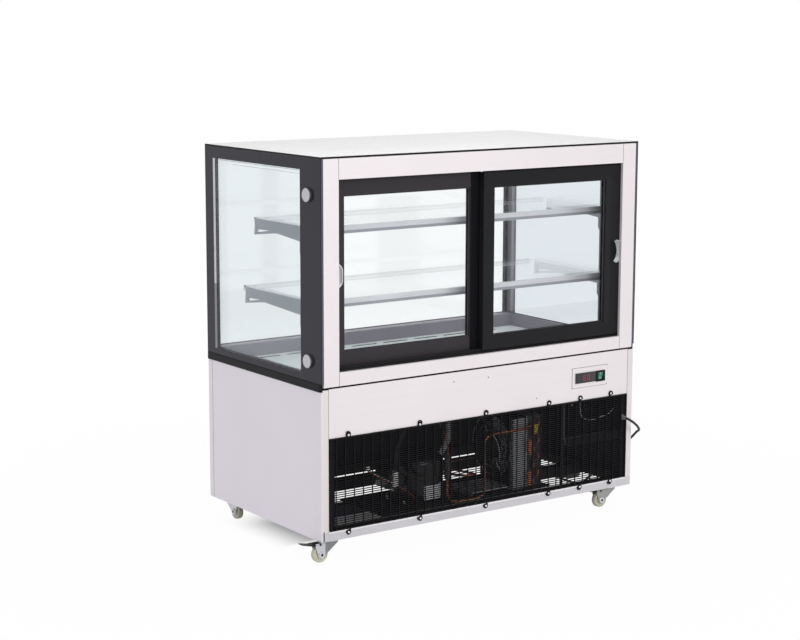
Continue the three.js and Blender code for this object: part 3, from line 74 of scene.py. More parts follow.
# %% Camera
view_azimuth, view_pitch, view_roll = (math.radians(v) for v in (-35.2008, 9.4642, 0.1267))
camera_back = Vector((math.sin(view_azimuth) * math.cos(view_pitch),
                      -math.cos(view_azimuth) * math.cos(view_pitch), math.sin(view_pitch)))
level_right = Vector((math.cos(view_azimuth), math.sin(view_azimuth), 0))
level_up = camera_back.cross(level_right)
camera_right = math.cos(view_roll) * level_right + math.sin(view_roll) * level_up
camera_up = math.cos(view_roll) * level_up - math.sin(view_roll) * level_right

lens = bpy.data.cameras.new("photo_view")
lens.sensor_width = 36
lens.lens = 83.163
lens.clip_end = 60
camera = bpy.data.objects.new("photo_view", lens)
bpy.context.scene.collection.objects.link(camera)
stand_point = at(-3408.2, -4701.1, 1593.0)
camera.matrix_world = Matrix((
    (camera_right.x, camera_up.x, camera_back.x, stand_point.x),
    (camera_right.y, camera_up.y, camera_back.y, stand_point.y),
    (camera_right.z, camera_up.z, camera_back.z, stand_point.z),
    (0, 0, 0, 1)))
bpy.context.scene.camera = camera
bpy.context.scene.view_settings.view_transform = "Standard"
print("lens", round(lens.lens, 2), "mm")

# %% [markdown]
# ## Writing shader sums as Python
# A finish is easier to read as a sum than as a row of boxes. One small class wraps a socket, and its
# operators add Math nodes. Another holds a material and adds any node from its type, its settings and
# the values of its sockets. Colours go through Mix and vectors through Vector Math, because a Math
# node would turn them grey.

# %% Sockets that add up
class Signal:
    def __init__(self, finish, socket):
        self.finish, self.socket = finish, socket

    def maths(self, operation, *values):
        return self.finish.node("ShaderNodeMath", {"operation": operation}, values)

    def __add__(self, other):
        return self.maths("ADD", self, other)

    def __sub__(self, other):
        return self.maths("SUBTRACT", self, other)

    def __rsub__(self, other):
        return self.maths("SUBTRACT", other, self)

    def __mul__(self, other):
        return self.maths("MULTIPLY", self, other)

    def __pow__(self, other):
        return self.maths("POWER", self, other)

    def __abs__(self):
        return self.maths("ABSOLUTE", self)

    def above(self, low):
        return self.maths("GREATER_THAN", self, low)

    def below(self, high):
        return self.maths("LESS_THAN", self, high)

    def between(self, low, high):
        return self.above(low) * self.below(high)

    def either(self, other):
        return self.maths("MAXIMUM", self, other)

    def ramp(self, start, end):
        sockets = {"Value": self, "From Min": start, "From Max": end}
        return self.finish.node("ShaderNodeMapRange", {"interpolation_type": "SMOOTHSTEP"}, sockets)

    __radd__ = __add__
    __rmul__ = __mul__


# %% A finish and its nodes
class Finish:
    def __init__(self, name, holder=None):
        self.material = holder or bpy.data.materials.new(name)
        self.material.use_nodes = True
        self.tree = self.material.node_tree
        self.tree.nodes.clear()

    def node(self, kind, settings=None, values=(), out=0):
        made = self.tree.nodes.new(kind)
        for key, value in (settings or {}).items():
            setattr(made, key, value)
        entries = values.items() if isinstance(values, dict) else enumerate(values)
        for key, value in entries:
            if isinstance(value, Signal):
                self.tree.links.new(value.socket, made.inputs[key])
            else:
                made.inputs[key].default_value = value
        return Signal(self, made.outputs[out])

    def place(self, x=1.0, y=1.0, z=1.0):
        spot = self.node("ShaderNodeTexCoord", out="Object")
        return self.node("ShaderNodeVectorMath", {"operation": "MULTIPLY"}, [spot, (x, y, z)])

    def axis(self, letter):
        spot = self.node("ShaderNodeTexCoord", out="Object")
        return self.node("ShaderNodeSeparateXYZ", None, [spot], out=letter)

    def noise(self, place, scale=1.0, detail=2.0, roughness=0.5):
        sockets = {"Vector": place, "Scale": scale, "Detail": detail, "Roughness": roughness}
        return self.node("ShaderNodeTexNoise", None, sockets)

    def tint(self, share, low, high):
        colours = [c if isinstance(c, Signal) else (*c, 1) for c in (low, high)]
        sockets = {0: share, 6: colours[0], 7: colours[1]}
        return self.node("ShaderNodeMix", {"data_type": "RGBA"}, sockets, out=2)

    def bump(self, height, strength, distance):
        sockets = {"Strength": strength, "Distance": distance, "Height": height}
        return self.node("ShaderNodeBump", None, sockets, out="Normal")

    def surface(self, **sockets):
        named = {key.replace("_", " ").title().replace("Ior", "IOR"): v for key, v in sockets.items()}
        return self.node("ShaderNodeBsdfPrincipled", None, named)

    def blend(self, share, low, high):
        return self.node("ShaderNodeMixShader", None, [share, low, high])

    def done(self, shader, kind="ShaderNodeOutputMaterial"):
        last = self.tree.nodes.new(kind)
        self.tree.links.new(shader.socket, last.inputs["Surface"])
        return self.material


# %% [markdown]
# ## The supply cord
# A cord is a fixed length of something flexible. It leaves its gland on the rear, bends down round
# the corner and runs along the floor behind the case, where the rest of its two metres lies in a
# coil. One smooth curve with a round bevel keeps that length, which a chain of short rods wouldn't.

# %% Route of the cord
cord_radius = 0.004
turns, steps_per_turn = 5, 24


def first_bend_spot(turn):
    """A round bend of 33 mm from the gland, down and towards the case's right side."""
    swing = 1 - math.cos(turn)
    return (560 + 23.1 * swing, -342 - 33 * math.sin(turn), 298 - 23.6 * swing)


def coil_spot(turn):
    """The coil narrows up to its middle turn and widens again on top of the turns below."""
    lift = min(max((turn - 2.25) / 0.5, 0), 1)
    radius = 55.05 - 9.9 * (turns / 2 - abs(turn - turns / 2))
    angle = math.pi - 2 * math.pi * turn
    return (682 + radius * math.cos(angle), 96 + radius * math.sin(angle),
            4.2 + 9 * lift * lift * (3 - 2 * lift))


first_bend = [first_bend_spot(math.radians(15 * step)) for step in range(11)]
lead = [
    (606.6, -349, 249.3), (610.2, -337.6, 241.3), (613.4, -320, 226.5), (615.6, -290, 201.4),
    (616.6, -240, 159.4), (617.4, -190, 117.5), (618.4, -140, 75.5), (619.6, -100, 42.0),
    (620.6, -72, 18.4), (620.9, -63.4, 12.4), (621.3, -53.9, 8.0), (621.7, -43.8, 5.3),
    (622.1, -33.4, 4.4), (624.4, 0, 4.3), (626.2, 30, 4.2), (626.95, 60, 4.2), (626.95, 87.7, 4.2)]
coil = [coil_spot(step / steps_per_turn) for step in range(turns * steps_per_turn + 1)]
tail = [(626.95, 112, 13.2), (626.95, 128, 13.2)]
route = [at(*place) for place in first_bend + lead + coil + tail]
cord_length = sum((b - a).length for a, b in zip(route, route[1:]))
print("cord points", len(route), "straight sum", round(cord_length, 3))

# %% The cord's curve
cord_line = bpy.data.curves.new("supply_cord", "CURVE")
cord_line.dimensions = "3D"
cord_line.bevel_depth = cord_radius
cord_line.bevel_resolution = 4
cord_line.use_fill_caps = True
spline = cord_line.splines.new("POLY")
spline.points.add(len(route) - 1)
for point, place in zip(spline.points, route):
    point.co = (*place, 1)
supply_cord = bpy.data.objects.new("supply_cord", cord_line)
bpy.context.scene.collection.objects.link(supply_cord)

# %% [markdown]
# ## Floor, world and lamps
# The picture shows the case on plain white. A white floor that is lit would send light up into the
# case, so the floor is a pale grey for that light and turns white only for the camera and for what
# is mirrored or seen through glass. Near the case the floor keeps a faint shadow, and more of it
# towards the customer side, where the light from behind leaves it. Wide soft lamps stand behind the
# left rear corner and above.

# %% Floor
floor_mesh = bmesh.new()
bmesh.ops.create_grid(floor_mesh, x_segments=1, y_segments=1, size=14)
floor_data = bpy.data.meshes.new("floor")
floor_mesh.to_mesh(floor_data)
floor_mesh.free()
floor = bpy.data.objects.new("floor", floor_data)
bpy.context.scene.collection.objects.link(floor)


def seen_directly(finish):
    ray = finish.node("ShaderNodeLightPath", out="Is Camera Ray")
    mirrored = finish.node("ShaderNodeLightPath", out="Is Glossy Ray")
    through = finish.node("ShaderNodeLightPath", out="Is Transmission Ray")
    return ray.either(mirrored).either(through)


pale = Finish("pale_floor")
matt = pale.node("ShaderNodeBsdfDiffuse", None, {"Color": (0.62, 0.62, 0.63, 1)})
white = pale.node("ShaderNodeEmission", None, {"Color": (1, 1, 1, 1), "Strength": 1.0})
from_middle = pale.node("ShaderNodeVectorMath", {"operation": "LENGTH"}, [pale.place()], out="Value")
far_off = from_middle.ramp(1.0, 2.4)
along_case = 1.0 - abs(pale.axis("X") - cabinet_middle).ramp(0.40, 0.62)
in_front = pale.axis("Y").ramp(-0.115, -0.075) * (1.0 - pale.axis("Y").ramp(0.12, 0.31))
shade = along_case * in_front
lit_share = (0.98 + far_off * 0.02) * (1.0 - shade * 0.92)
floor_data.materials.append(pale.done(pale.blend(seen_directly(pale) * lit_share, matt, white)))

# %% World and lamps
world = bpy.data.worlds.new("studio")
bpy.context.scene.world = world
air = Finish("studio", world)
dim = air.node("ShaderNodeBackground", None, {"Color": (0.62, 0.62, 0.63, 1), "Strength": 1.0})
bright = air.node("ShaderNodeBackground", None, {"Color": (1, 1, 1, 1), "Strength": 1.0})
air.done(air.blend(seen_directly(air), dim, bright), "ShaderNodeOutputWorld")


def lamp(name, place, target, size, power):
    light = bpy.data.lights.new(name, "AREA")
    light.shape, light.size, light.size_y, light.energy = "RECTANGLE", size[0], size[1], power
    holder = bpy.data.objects.new(name, light)
    bpy.context.scene.collection.objects.link(holder)
    holder.location = place
    holder.rotation_euler = (Vector(target) - Vector(place)).to_track_quat("-Z", "Y").to_euler()


lamp("rear_soft", (-0.5, -4.9, 2.2), (0.2, 0, 0.5), (2.6, 2.0), 84)
lamp("top_soft", (0.2, -0.4, 4.2), (0, 0, 0.6), (3.0, 2.4), 60)
lamp("left_soft", (-4.6, -0.6, 1.8), (0, 0, 0.6), (1.8, 1.8), 11)

# %% [markdown]
# ## Finishes for the metals
# Brushed stainless sheet looks pale and soft: the polishing leaves fine streaks along one way of the
# sheet, so a noise that is stretched far along X changes the colour and the roughness a little, and
# a second broad noise gives the faint clouds that a hand-wiped panel has. A mirror finish would be
# wrong here, and so would plain grey paint.

# %% Brushed and plated metals
def metal_skin(finish, low, high, metallic, roughness, streaks=(2.0, 260.0, 260.0), depth=0.00002):
    streak = finish.noise(finish.place(*streaks), 1.0, 3.0, 0.6)
    cloud = finish.noise(finish.place(), 5.0, 2.0, 0.5)
    share = streak * 0.5 + cloud * 0.5
    return finish.surface(
        base_color=finish.tint(share, low, high), metallic=metallic,
        roughness=roughness + (streak - 0.5) * 0.16, normal=finish.bump(streak, 0.25, depth))


def brushed(name, *look, **more):
    finish = Finish(name)
    return finish.done(metal_skin(finish, *look, **more))


# %% Painted, moulded and rubber surfaces
def paint_skin(finish, low, high, roughness, grain=900.0, depth=0.00004, shine=0.5):
    peel = finish.noise(finish.place(), grain, 2.0, 0.5)
    cloud = finish.noise(finish.place(), 9.0, 2.0, 0.5)
    return finish.surface(
        base_color=finish.tint(peel * 0.4 + cloud * 0.6, low, high), specular_ior_level=shine,
        roughness=roughness + (cloud - 0.5) * 0.12, normal=finish.bump(peel, 0.3, depth))


def painted(name, *look, **more):
    finish = Finish(name)
    return finish.done(paint_skin(finish, *look, **more))


# %% Looks that are used more than once
steel_look = ((0.79, 0.735, 0.745), (0.88, 0.825, 0.835), 0.35, 0.44)
side_look = ((0.775, 0.73, 0.79), (0.86, 0.81, 0.87), 0.35, 0.44)
post_look = ((0.74, 0.685, 0.685), (0.82, 0.765, 0.765), 0.35, 0.44)
sill_look = ((0.58, 0.565, 0.595), (0.68, 0.66, 0.69), 0.35, 0.40)
zinc_look = ((0.50, 0.50, 0.52), (0.72, 0.72, 0.74), 0.6, 0.46, (34.0, 34.0, 34.0))
fork_look = ((0.52, 0.53, 0.55), (0.74, 0.75, 0.77), 0.6, 0.32, (60.0, 60.0, 60.0))
copper_look = ((0.30, 0.085, 0.05), (0.54, 0.19, 0.10), 0.7, 0.34, (70.0, 70.0, 70.0))
fin_look = ((0.42, 0.43, 0.45), (0.70, 0.71, 0.73), 0.6, 0.38, (30.0, 500.0, 30.0))
foam_look = ((0.62, 0.62, 0.62), (0.74, 0.74, 0.74), 0.6, 200.0, 0.0002)
black_look = ((0.004, 0.004, 0.005), (0.010, 0.010, 0.012), 0.55)
profile_look = ((0.009, 0.009, 0.010), (0.016, 0.016, 0.018), 0.50)
left_door_lit_look = ((0.028, 0.024, 0.029), (0.040, 0.034, 0.040), 0.50)
painted_shade_look = ((0.010, 0.010, 0.011), (0.022, 0.022, 0.024), 0.7)

# %% The finish of each slot
finishes = {
    "stainless": brushed("stainless", *steel_look),
    "galvanised": brushed("galvanised", *zinc_look),
    "black_steel": painted("black_steel", *black_look, shine=0.12),
    "black_profile": painted("black_profile", *profile_look, shine=0.12),
    "compressor_black": painted("compressor_black", (0.005, 0.005, 0.006), (0.012, 0.012, 0.014),
                                0.2, 300.0),
    "post_steel": brushed("post_steel", (0.13, 0.14, 0.18), (0.20, 0.21, 0.26), 0.3, 0.40,
                          (240.0, 240.0, 3.0)),
    "shelf_steel": brushed("shelf_steel", (0.36, 0.37, 0.40), (0.56, 0.57, 0.60), 0.3, 0.36),
    "fork_zinc": brushed("fork_zinc", *fork_look),
    "pull_metal": brushed("pull_metal", (0.72, 0.73, 0.75), (0.90, 0.91, 0.93), 0.7, 0.22,
                          (260.0, 260.0, 6.0)),
    "copper": brushed("copper", *copper_look),
    "fins": brushed("fins", *fin_look),
    "rubber": painted("rubber", (0.010, 0.010, 0.010), (0.024, 0.024, 0.024), 0.62, 600.0),
    "tub_foam": painted("tub_foam", *foam_look),
    "thermostat_black": painted("thermostat_black", (0.014, 0.018, 0.020), (0.024, 0.029, 0.032), 0.3),
    "pedal_black": painted("pedal_black", (0.006, 0.006, 0.007), (0.014, 0.014, 0.015), 0.5),
    "plug_black": painted("plug_black", (0.010, 0.010, 0.011), (0.022, 0.022, 0.023), 0.5),
    "wheel_nylon": painted("wheel_nylon", (0.56, 0.54, 0.42), (0.72, 0.69, 0.57), 0.36, 120.0, 0.0001),
    "gland_grey": painted("gland_grey", (0.09, 0.09, 0.10), (0.14, 0.14, 0.15), 0.5),
    "rocker_green": painted("rocker_green", (0.01, 0.14, 0.08), (0.03, 0.27, 0.16), 0.2),
}
print("finishes", len(finishes))

# %% [markdown]
# ## Glass
# A pane mirrors more at a shallow angle, so the share of mirror comes from Layer Weight's Facing
# raised to the fifth power, which is how clear glass behaves. The rest goes straight through with a
# faint tint. The side and front panes have a printed black border that hides their glue. It is
# painted by position, because the print has no thickness worth modelling.

# %% Clear panes
def through_glass(finish, tone, mirror_tone=(1, 1, 1), power=5, least=0.022):
    facing = finish.node("ShaderNodeLayerWeight", None, {"Blend": 0.5}, out="Facing")
    clear = finish.node("ShaderNodeBsdfTransparent", None, {"Color": (*tone, 1)})
    smear = finish.noise(finish.place(), 7.0, 3.0, 0.5)
    mirror = finish.surface(base_color=(*mirror_tone, 1), metallic=1.0, roughness=smear * 0.05)
    return finish.blend(facing ** power * (1 - least) + least, clear, mirror)


def pane(name, tone):
    finish = Finish(name)
    return finish.done(through_glass(finish, tone))


finishes["clear_glass"] = pane("clear_glass", (0.992, 0.996, 0.997))

# %% [markdown]
# ## Finishes that change over one piece
# Some pieces are one solid but not one colour: a panel is bare steel outside with painted shade on
# its inside faces, the coil's return bends are copper, and the switch's housing is black plastic in a
# steel plate. A test on the place in the drawing gives a mask, and a Mix Shader lays the next finish
# over the last one, like coats of paint through a stencil.

# %% Stencils and coats
def zone(finish, x=None, y=None, z=None, w=None):
    """1 inside the given millimetre ranges of the drawing, where w is the distance from the middle."""
    share = finish.axis("Z").above(-1.0)
    for letter, span, shift in (("X", x, cabinet_middle), ("Y", y, 0), ("Z", z, 0)):
        if span:
            share = share * finish.axis(letter).between(span[0] / 1000 + shift, span[1] / 1000 + shift)
    if w:
        share = share * abs(finish.axis("X") - cabinet_middle).between(w[0] / 1000, w[1] / 1000)
    return share


def spot(finish, x, z, radius):
    across = finish.axis("X") - (x / 1000 + cabinet_middle)
    upward = finish.axis("Z") - z / 1000
    return (across * across + upward * upward).below((radius / 1000) ** 2)


def metal(*look):
    return lambda finish: metal_skin(finish, *look)


def coat(*look, **more):
    return lambda finish: paint_skin(finish, *look, **more)


def glass(*look):
    return lambda finish: through_glass(finish, *look)


def inside(skin, **spans):
    """A skin with the stencil of the ranges that it covers."""
    return (lambda finish: zone(finish, **spans), skin)


def layered(name, base, *coats):
    """A base skin and more skins, each laid over the last where its stencil is 1."""
    finish = Finish(name)
    shader = base(finish)
    for stencil, skin in coats:
        shader = finish.blend(stencil(finish), shader, skin(finish))
    return finish.done(shader)


steel = metal(*steel_look)
zinc = metal(*zinc_look)
# Painted shade: faces inside the case, behind the panels and under the tub are painted near-black,
# where little light reaches.
shadowed = coat(*painted_shade_look, shine=0.2)
seam = coat((0.05, 0.05, 0.055), (0.09, 0.09, 0.10), 0.6)
profile = coat(*profile_look, shine=0.12)
print("skins ready")

# %% Panels and posts
behind = (-329, 400)
on_face = (-331, -329.2)
side_skin = layered("side_skin", metal(*side_look), inside(shadowed, w=(0, 598.6)))
front_skin = layered(
    "front_skin", metal(*side_look), inside(shadowed, w=(0, 598.6), y=(-400, 328.6)),
    inside(seam, w=(599, 601), y=(301, 303.4)))
post_skin = layered(
    "post_skin", metal(*side_look), inside(metal(*post_look), y=on_face), inside(shadowed, w=(0, 576)),
    inside(metal(*sill_look), y=on_face, z=(69, 97.5)),
    inside(coat(*black_look, shine=0.1), x=(-594.5, -591), y=on_face, z=(71, 101)))
# Painted highlight: the sill's top fold is a brighter copy of the steel, where light from above catches
# it.
sill_fold_highlight = metal((0.90, 0.87, 0.89), (0.95, 0.92, 0.94), 0.2, 0.4)
sill_skin = layered("sill_skin", metal(*sill_look), inside(shadowed, y=behind),
                    inside(sill_fold_highlight, y=on_face, z=(92.5, 98)))

# %% Upper panel, rear frame and control plate
plate_outline = coat((0.22, 0.21, 0.22), (0.30, 0.29, 0.30), 0.5)
pin_holes = [(lambda finish, x=x, z=z: spot(finish, x, z, 2.2), seam)
             for x, z in ((-125, 493), (6, 493), (198, 404))]
upper_skin = layered("upper_panel_skin", steel, inside(shadowed, y=behind),
                     inside(plate_outline, x=(340.4, 488.6), z=(416.4, 482.6)), *pin_holes)
stile_seam = (537.2, 538.6)
button_steel = metal((0.50, 0.49, 0.51), (0.60, 0.59, 0.61), 0.5, 0.34)
frame_skin = layered(
    "frame_skin", steel, inside(seam, w=stile_seam, z=(1124.2, 1190)),
    inside(seam, w=stile_seam, z=(500, 566.8)), inside(button_steel, w=(600.3, 620)))
plate_skin = layered("plate_skin", steel, inside(profile, x=(438.9, 477.1), z=(429.9, 465.1)))

# %% The tub and the unit
# Painted shade covers the tub's outside and the unit's base plate; the foam shows inside the tub's rim
# and a zinc patch on the plate.
tub_skin = layered("tub_skin", shadowed,
                   inside(coat(*foam_look), x=(-559.5, 559.5), y=(-289.5, 299.5), z=(385.2, 600)))
stand_skin = layered("stand_skin", shadowed,
                     inside(zinc, x=(-8, 141), y=(-273, -139), z=(104.5, 130)))
end_plate = coat((0.03, 0.03, 0.033), (0.06, 0.06, 0.065), 0.5)
coil_skin = layered(
    "coil_skin", metal(*fin_look), inside(end_plate, x=(193, 400), y=(-283.4, -282.4)),
    inside(metal(*copper_look), y=(-400, -283.4)))
shroud_edge = metal((0.55, 0.56, 0.58), (0.80, 0.81, 0.83), 0.4, 0.4)
shroud_skin = layered("shroud_skin", coat(*black_look, shine=0.2), inside(shroud_edge, y=(-300, -281)))
drier = coat((0.05, 0.045, 0.045), (0.09, 0.08, 0.08), 0.35)
line_skin = layered("line_skin", metal(*copper_look), inside(drier, x=(-140, -104), z=(186, 262)))

# %% The rear forks, which stand in the shade of the sill
left_fork_shade = metal((0.20, 0.21, 0.22), (0.32, 0.33, 0.35), 0.6, 0.4)
right_fork_shade = metal((0.28, 0.28, 0.27), (0.40, 0.40, 0.39), 0.6, 0.4)
fork_skin = layered(
    "fork_skin", metal(*fork_look), inside(left_fork_shade, x=(-571, -400), y=(-330, -200)),
    inside(right_fork_shade, x=(400, 700), y=(-330, -200)))

# %% The deck and the shelves
deck_skin = layered("deck_skin", coat((0.66, 0.72, 0.71), (0.76, 0.82, 0.81), 0.35, 200.0),
                    inside(shadowed, z=(400, 513)))
skirt_skin = painted("skirt_skin", (0.20, 0.19, 0.225), (0.26, 0.25, 0.29), 0.4, 200.0, shine=0.15)
rail_steel = metal((0.50, 0.51, 0.54), (0.80, 0.81, 0.84), 0.3, 0.34, (6.0, 260.0, 90.0))
# Painted shade: the shelf brackets are a darker copy of the shelf steel.
bracket_shade = metal((0.24, 0.26, 0.29), (0.36, 0.38, 0.42), 0.3, 0.42)
cover = coat((0.72, 0.74, 0.75), (0.84, 0.86, 0.87), 0.3, 200.0)
cover_top = coat((0.10, 0.10, 0.11), (0.15, 0.15, 0.16), 0.4)


def shelf_skin(name, top, glass_front):
    lamp_bar = (glass_front - 12.2, glass_front + 1)
    return layered(
        name, rail_steel, inside(bracket_shade, y=(-236, -220.5), z=(top - 60, top - 15)),
        inside(cover, y=lamp_bar), inside(cover_top, y=lamp_bar, z=(top - 5, top + 1)),
        inside(bracket_shade, w=(570.8, 600)))


# %% Doors and glass
# Painted light and shade: the left door's frame is a lighter copy of the black profile, and its meeting
# stile, where the right door overlaps it, is painted near-black as shade.
left_door_skin = layered("left_door_skin", coat(*left_door_lit_look, shine=0.2),
                         inside(coat(*black_look, shine=0.06), x=(-39, 20)))
border = coat((0.012, 0.011, 0.020), (0.020, 0.018, 0.030), 0.16, 240.0, 0.0, shine=0.22)
border_behind = coat((0.085, 0.085, 0.11), (0.12, 0.12, 0.15), 0.3, 240.0, 0.0, shine=0.2)
spacer = coat((0.60, 0.60, 0.61), (0.78, 0.78, 0.79), 0.3, 60.0)
spacer_shade = coat((0.20, 0.21, 0.24), (0.28, 0.29, 0.32), 0.3, 60.0)
tall = (556, 1149)
left_glass_skin = layered(
    "left_glass_skin", border, inside(border_behind, w=(0, 597)),
    inside(glass((0.92, 0.94, 0.948)), y=(-221, 262), z=tall),
    inside(spacer, y=(268, 281), z=(760, 1149)), inside(spacer_shade, y=(268, 281), z=(556, 760)))
# Painted shade: the right pane's clear part has a darker tint than the left pane's.
right_glass_skin = layered(
    "right_glass_skin", border, inside(border_behind, w=(0, 597)),
    inside(glass((0.87, 0.895, 0.915)), y=(-221, 283), z=tall),
    inside(spacer_shade, y=(283, 296), z=tall))
front_glass_skin = layered("front_glass_skin", border,
                           inside(glass((0.99, 0.995, 0.997)), w=(0, 580), z=tall))
clear_top = glass((0.985, 0.98, 0.99), (0.995, 0.99, 1.0), 3)
top_glass_skin = layered("top_glass_skin", coat(*black_look, shine=0.2),
                         inside(clear_top, w=(0, 599.3), y=(-329.3, 329.3)))


# %% The door pull's bright crescent
def crescent(name, centre_x):
    """Bright metal on the pull's right edge, painted shade in the cup, where an ellipse divides them.
    """
    def cup(finish):
        across = (finish.axis("X") - (centre_x / 1000 + cabinet_middle)) * (1 / 0.031) + 0.32
        upward = (finish.axis("Z") - 0.842) * (1 / 0.042)
        return (across * across + upward * upward).below(1.0).either(across.below(0.0))
    rim = metal((0.76, 0.77, 0.79), (0.93, 0.94, 0.95), 0.5, 0.25, (260.0, 260.0, 6.0))
    return layered(name, rim, (cup, coat(*black_look, shine=0.2)))


# %% Each node gets its finish
special = {
    "glass_side_left": left_glass_skin, "glass_side_right": right_glass_skin,
    "glass_front": front_glass_skin, "glass_top": top_glass_skin,
    "side_panel_left": side_skin, "side_panel_right": side_skin, "front_panel": front_skin,
    "corner_post_rear_left": post_skin, "corner_post_rear_right": post_skin,
    "rear_sill": sill_skin, "rear_upper_panel": upper_skin, "rear_frame": frame_skin,
    "control_plate": plate_skin, "insulated_tub": tub_skin, "unit_base_plate": stand_skin,
    "condenser_coil": coil_skin, "fan_shroud": shroud_skin, "liquid_line": line_skin,
    "display_deck": deck_skin, "inner_skirt": skirt_skin,
    "caster_fork_rear_left": fork_skin, "caster_fork_rear_right": fork_skin,
    "shelf_frame_lower": shelf_skin("lower_shelf_skin", 764, 168),
    "shelf_frame_upper": shelf_skin("upper_shelf_skin", 980, 102),
    "door_frame_left": left_door_skin, "door_pull_right": crescent("pull_right_skin", 519),
    "door_pull_left": crescent("pull_left_skin", -529.5),
}
for part in frame["record"]["subparts"]:
    node = nodes[part["node"]]
    node.data.materials.clear()
    node.data.materials.append(special.get(part["node"], finishes[part["material_slot"]]))

# A view through doors, panes and shelves crosses more glass faces than the default lets through.
bpy.context.scene.cycles.transparent_max_bounces = 40

# %% [markdown]
# ## Making small pieces
# Each small thing starts as a box, a spun line or a rod, and a narrow bevel takes its sharp edges,
# because the light catches a real edge. Several of one kind share a mesh. Curves with a round bevel
# serve for wires and pipes, since they bend smoothly through a few knots.

# %% Boxes, spun bodies and rods
def add_bar(mesh, low, high, round_by=0.0, steps=2):
    corners = bmesh.ops.create_cube(mesh, size=1)["verts"]
    bmesh.ops.scale(mesh, vec=high - low, verts=corners)
    bmesh.ops.translate(mesh, vec=(low + high) / 2, verts=corners)
    if round_by:
        edges = list({edge for corner in corners for edge in corner.link_edges})
        bmesh.ops.bevel(mesh, geom=edges, offset=round_by / 1000, segments=steps, profile=0.5,
                        affect="EDGES", material=-1)


def add_spun(mesh, profile, centre, axis, steps=32, closed=False):
    """A line of (radius, distance) points in millimetres, spun round an axis through the centre."""
    axis = Vector(axis).normalized()
    side = axis.orthogonal().normalized()
    spots = [mesh.verts.new(centre + side * r / 1000 + axis * a / 1000) for r, a in profile]
    ends = spots[1:] + spots[:1] if closed else spots[1:]
    rim = [mesh.edges.new(pair) for pair in zip(spots, ends)]
    bmesh.ops.spin(mesh, geom=spots + rim, cent=centre, axis=axis, angle=math.tau, steps=steps,
                   use_merge=True)


def add_rod(mesh, start, end, radius, sides=12):
    turn = (end - start).to_track_quat("Z", "Y").to_matrix().to_4x4()
    bmesh.ops.create_cone(mesh, cap_ends=True, segments=sides, radius1=radius / 1000,
                          radius2=radius / 1000, depth=(end - start).length,
                          matrix=Matrix.Translation((start + end) / 2) @ turn)


# %% A finished piece
made = []


def finished(name, mesh, finish, body="case"):
    bmesh.ops.remove_doubles(mesh, verts=mesh.verts, dist=1e-6)
    bmesh.ops.recalc_face_normals(mesh, faces=mesh.faces)
    data = bpy.data.meshes.new(name)
    mesh.to_mesh(data)
    mesh.free()
    data.polygons.foreach_set("use_smooth", [True] * len(data.polygons))
    data.set_sharp_from_angle(angle=math.radians(38))
    data.materials.append(finish)
    piece = bpy.data.objects.new(name, data)
    bpy.context.scene.collection.objects.link(piece)
    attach(piece, body)
    made.append(name)
    return piece


def wire(name, spots, radius, finish):
    line = bpy.data.curves.new(name, "CURVE")
    line.dimensions, line.bevel_depth = "3D", radius / 1000
    line.bevel_resolution, line.resolution_u, line.use_fill_caps = 3, 6, True
    run = line.splines.new("BEZIER")
    run.bezier_points.add(len(spots) - 1)
    for knot, spot in zip(run.bezier_points, spots):
        knot.co = at(*spot)
        knot.handle_left_type = knot.handle_right_type = "AUTO"
    line.materials.append(finish)
    piece = bpy.data.objects.new(name, line)
    bpy.context.scene.collection.objects.link(piece)
    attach(piece, "case")
    made.append(name)
    return piece


# %% [markdown]
# ## The compressor
# A compressor of this kind is two drawn steel cups, welded at a flange and painted gloss black. The
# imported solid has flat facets, so a spun shell with a rounded dome stands in its place, with its
# foot plate, rubber feet, relay box and the pipe that carries the hot gas to the coil.

# %% Compressor shell
shell = bmesh.new()
add_spun(shell, [
    (0, 112.6), (50, 112.6), (66, 114.5), (75, 120), (79, 127), (80, 136), (80, 190), (83, 191.2),
    (83, 198.4), (80, 199.6), (80, 222), (79, 232), (75, 242), (67, 252), (55, 260), (38, 265.4),
    (20, 267.5), (0, 268)], at(-160, -190, 0), (0, 0, 1), 64)
compressor_shell = finished("compressor_shell", shell, finishes["compressor_black"])
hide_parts("compressor")

mounts = bmesh.new()
add_bar(mounts, at(-255, -250, 109.6), at(-65, -130, 113.4), 1.2)
add_bar(mounts, at(-298, -232, 162.6), at(-236, -160, 230.6), 4, 3)
finished("compressor_mounts", mounts, finishes["compressor_black"])

# %% Its feet and bolts
feet, bolts = bmesh.new(), bmesh.new()
foot_line = [(0, 0), (9, 0), (10, 1.2), (10, 2.6), (7, 3.4), (7, 4.4), (9, 5), (9, 9.6), (0, 9.6)]
for foot_x in (-242, -78):
    for foot_y in (-236, -144):
        add_spun(feet, foot_line, at(foot_x, foot_y, 104.6), (0, 0, 1), 20)
        add_rod(bolts, at(foot_x, foot_y, 114.2), at(foot_x, foot_y, 119), 5.5, 6)
        add_rod(bolts, at(foot_x, foot_y, 119), at(foot_x, foot_y, 123), 3, 12)
finished("compressor_feet", feet, finishes["rubber"])
finished("compressor_bolts", bolts, finishes["fork_zinc"])
print("compressor pieces", made)

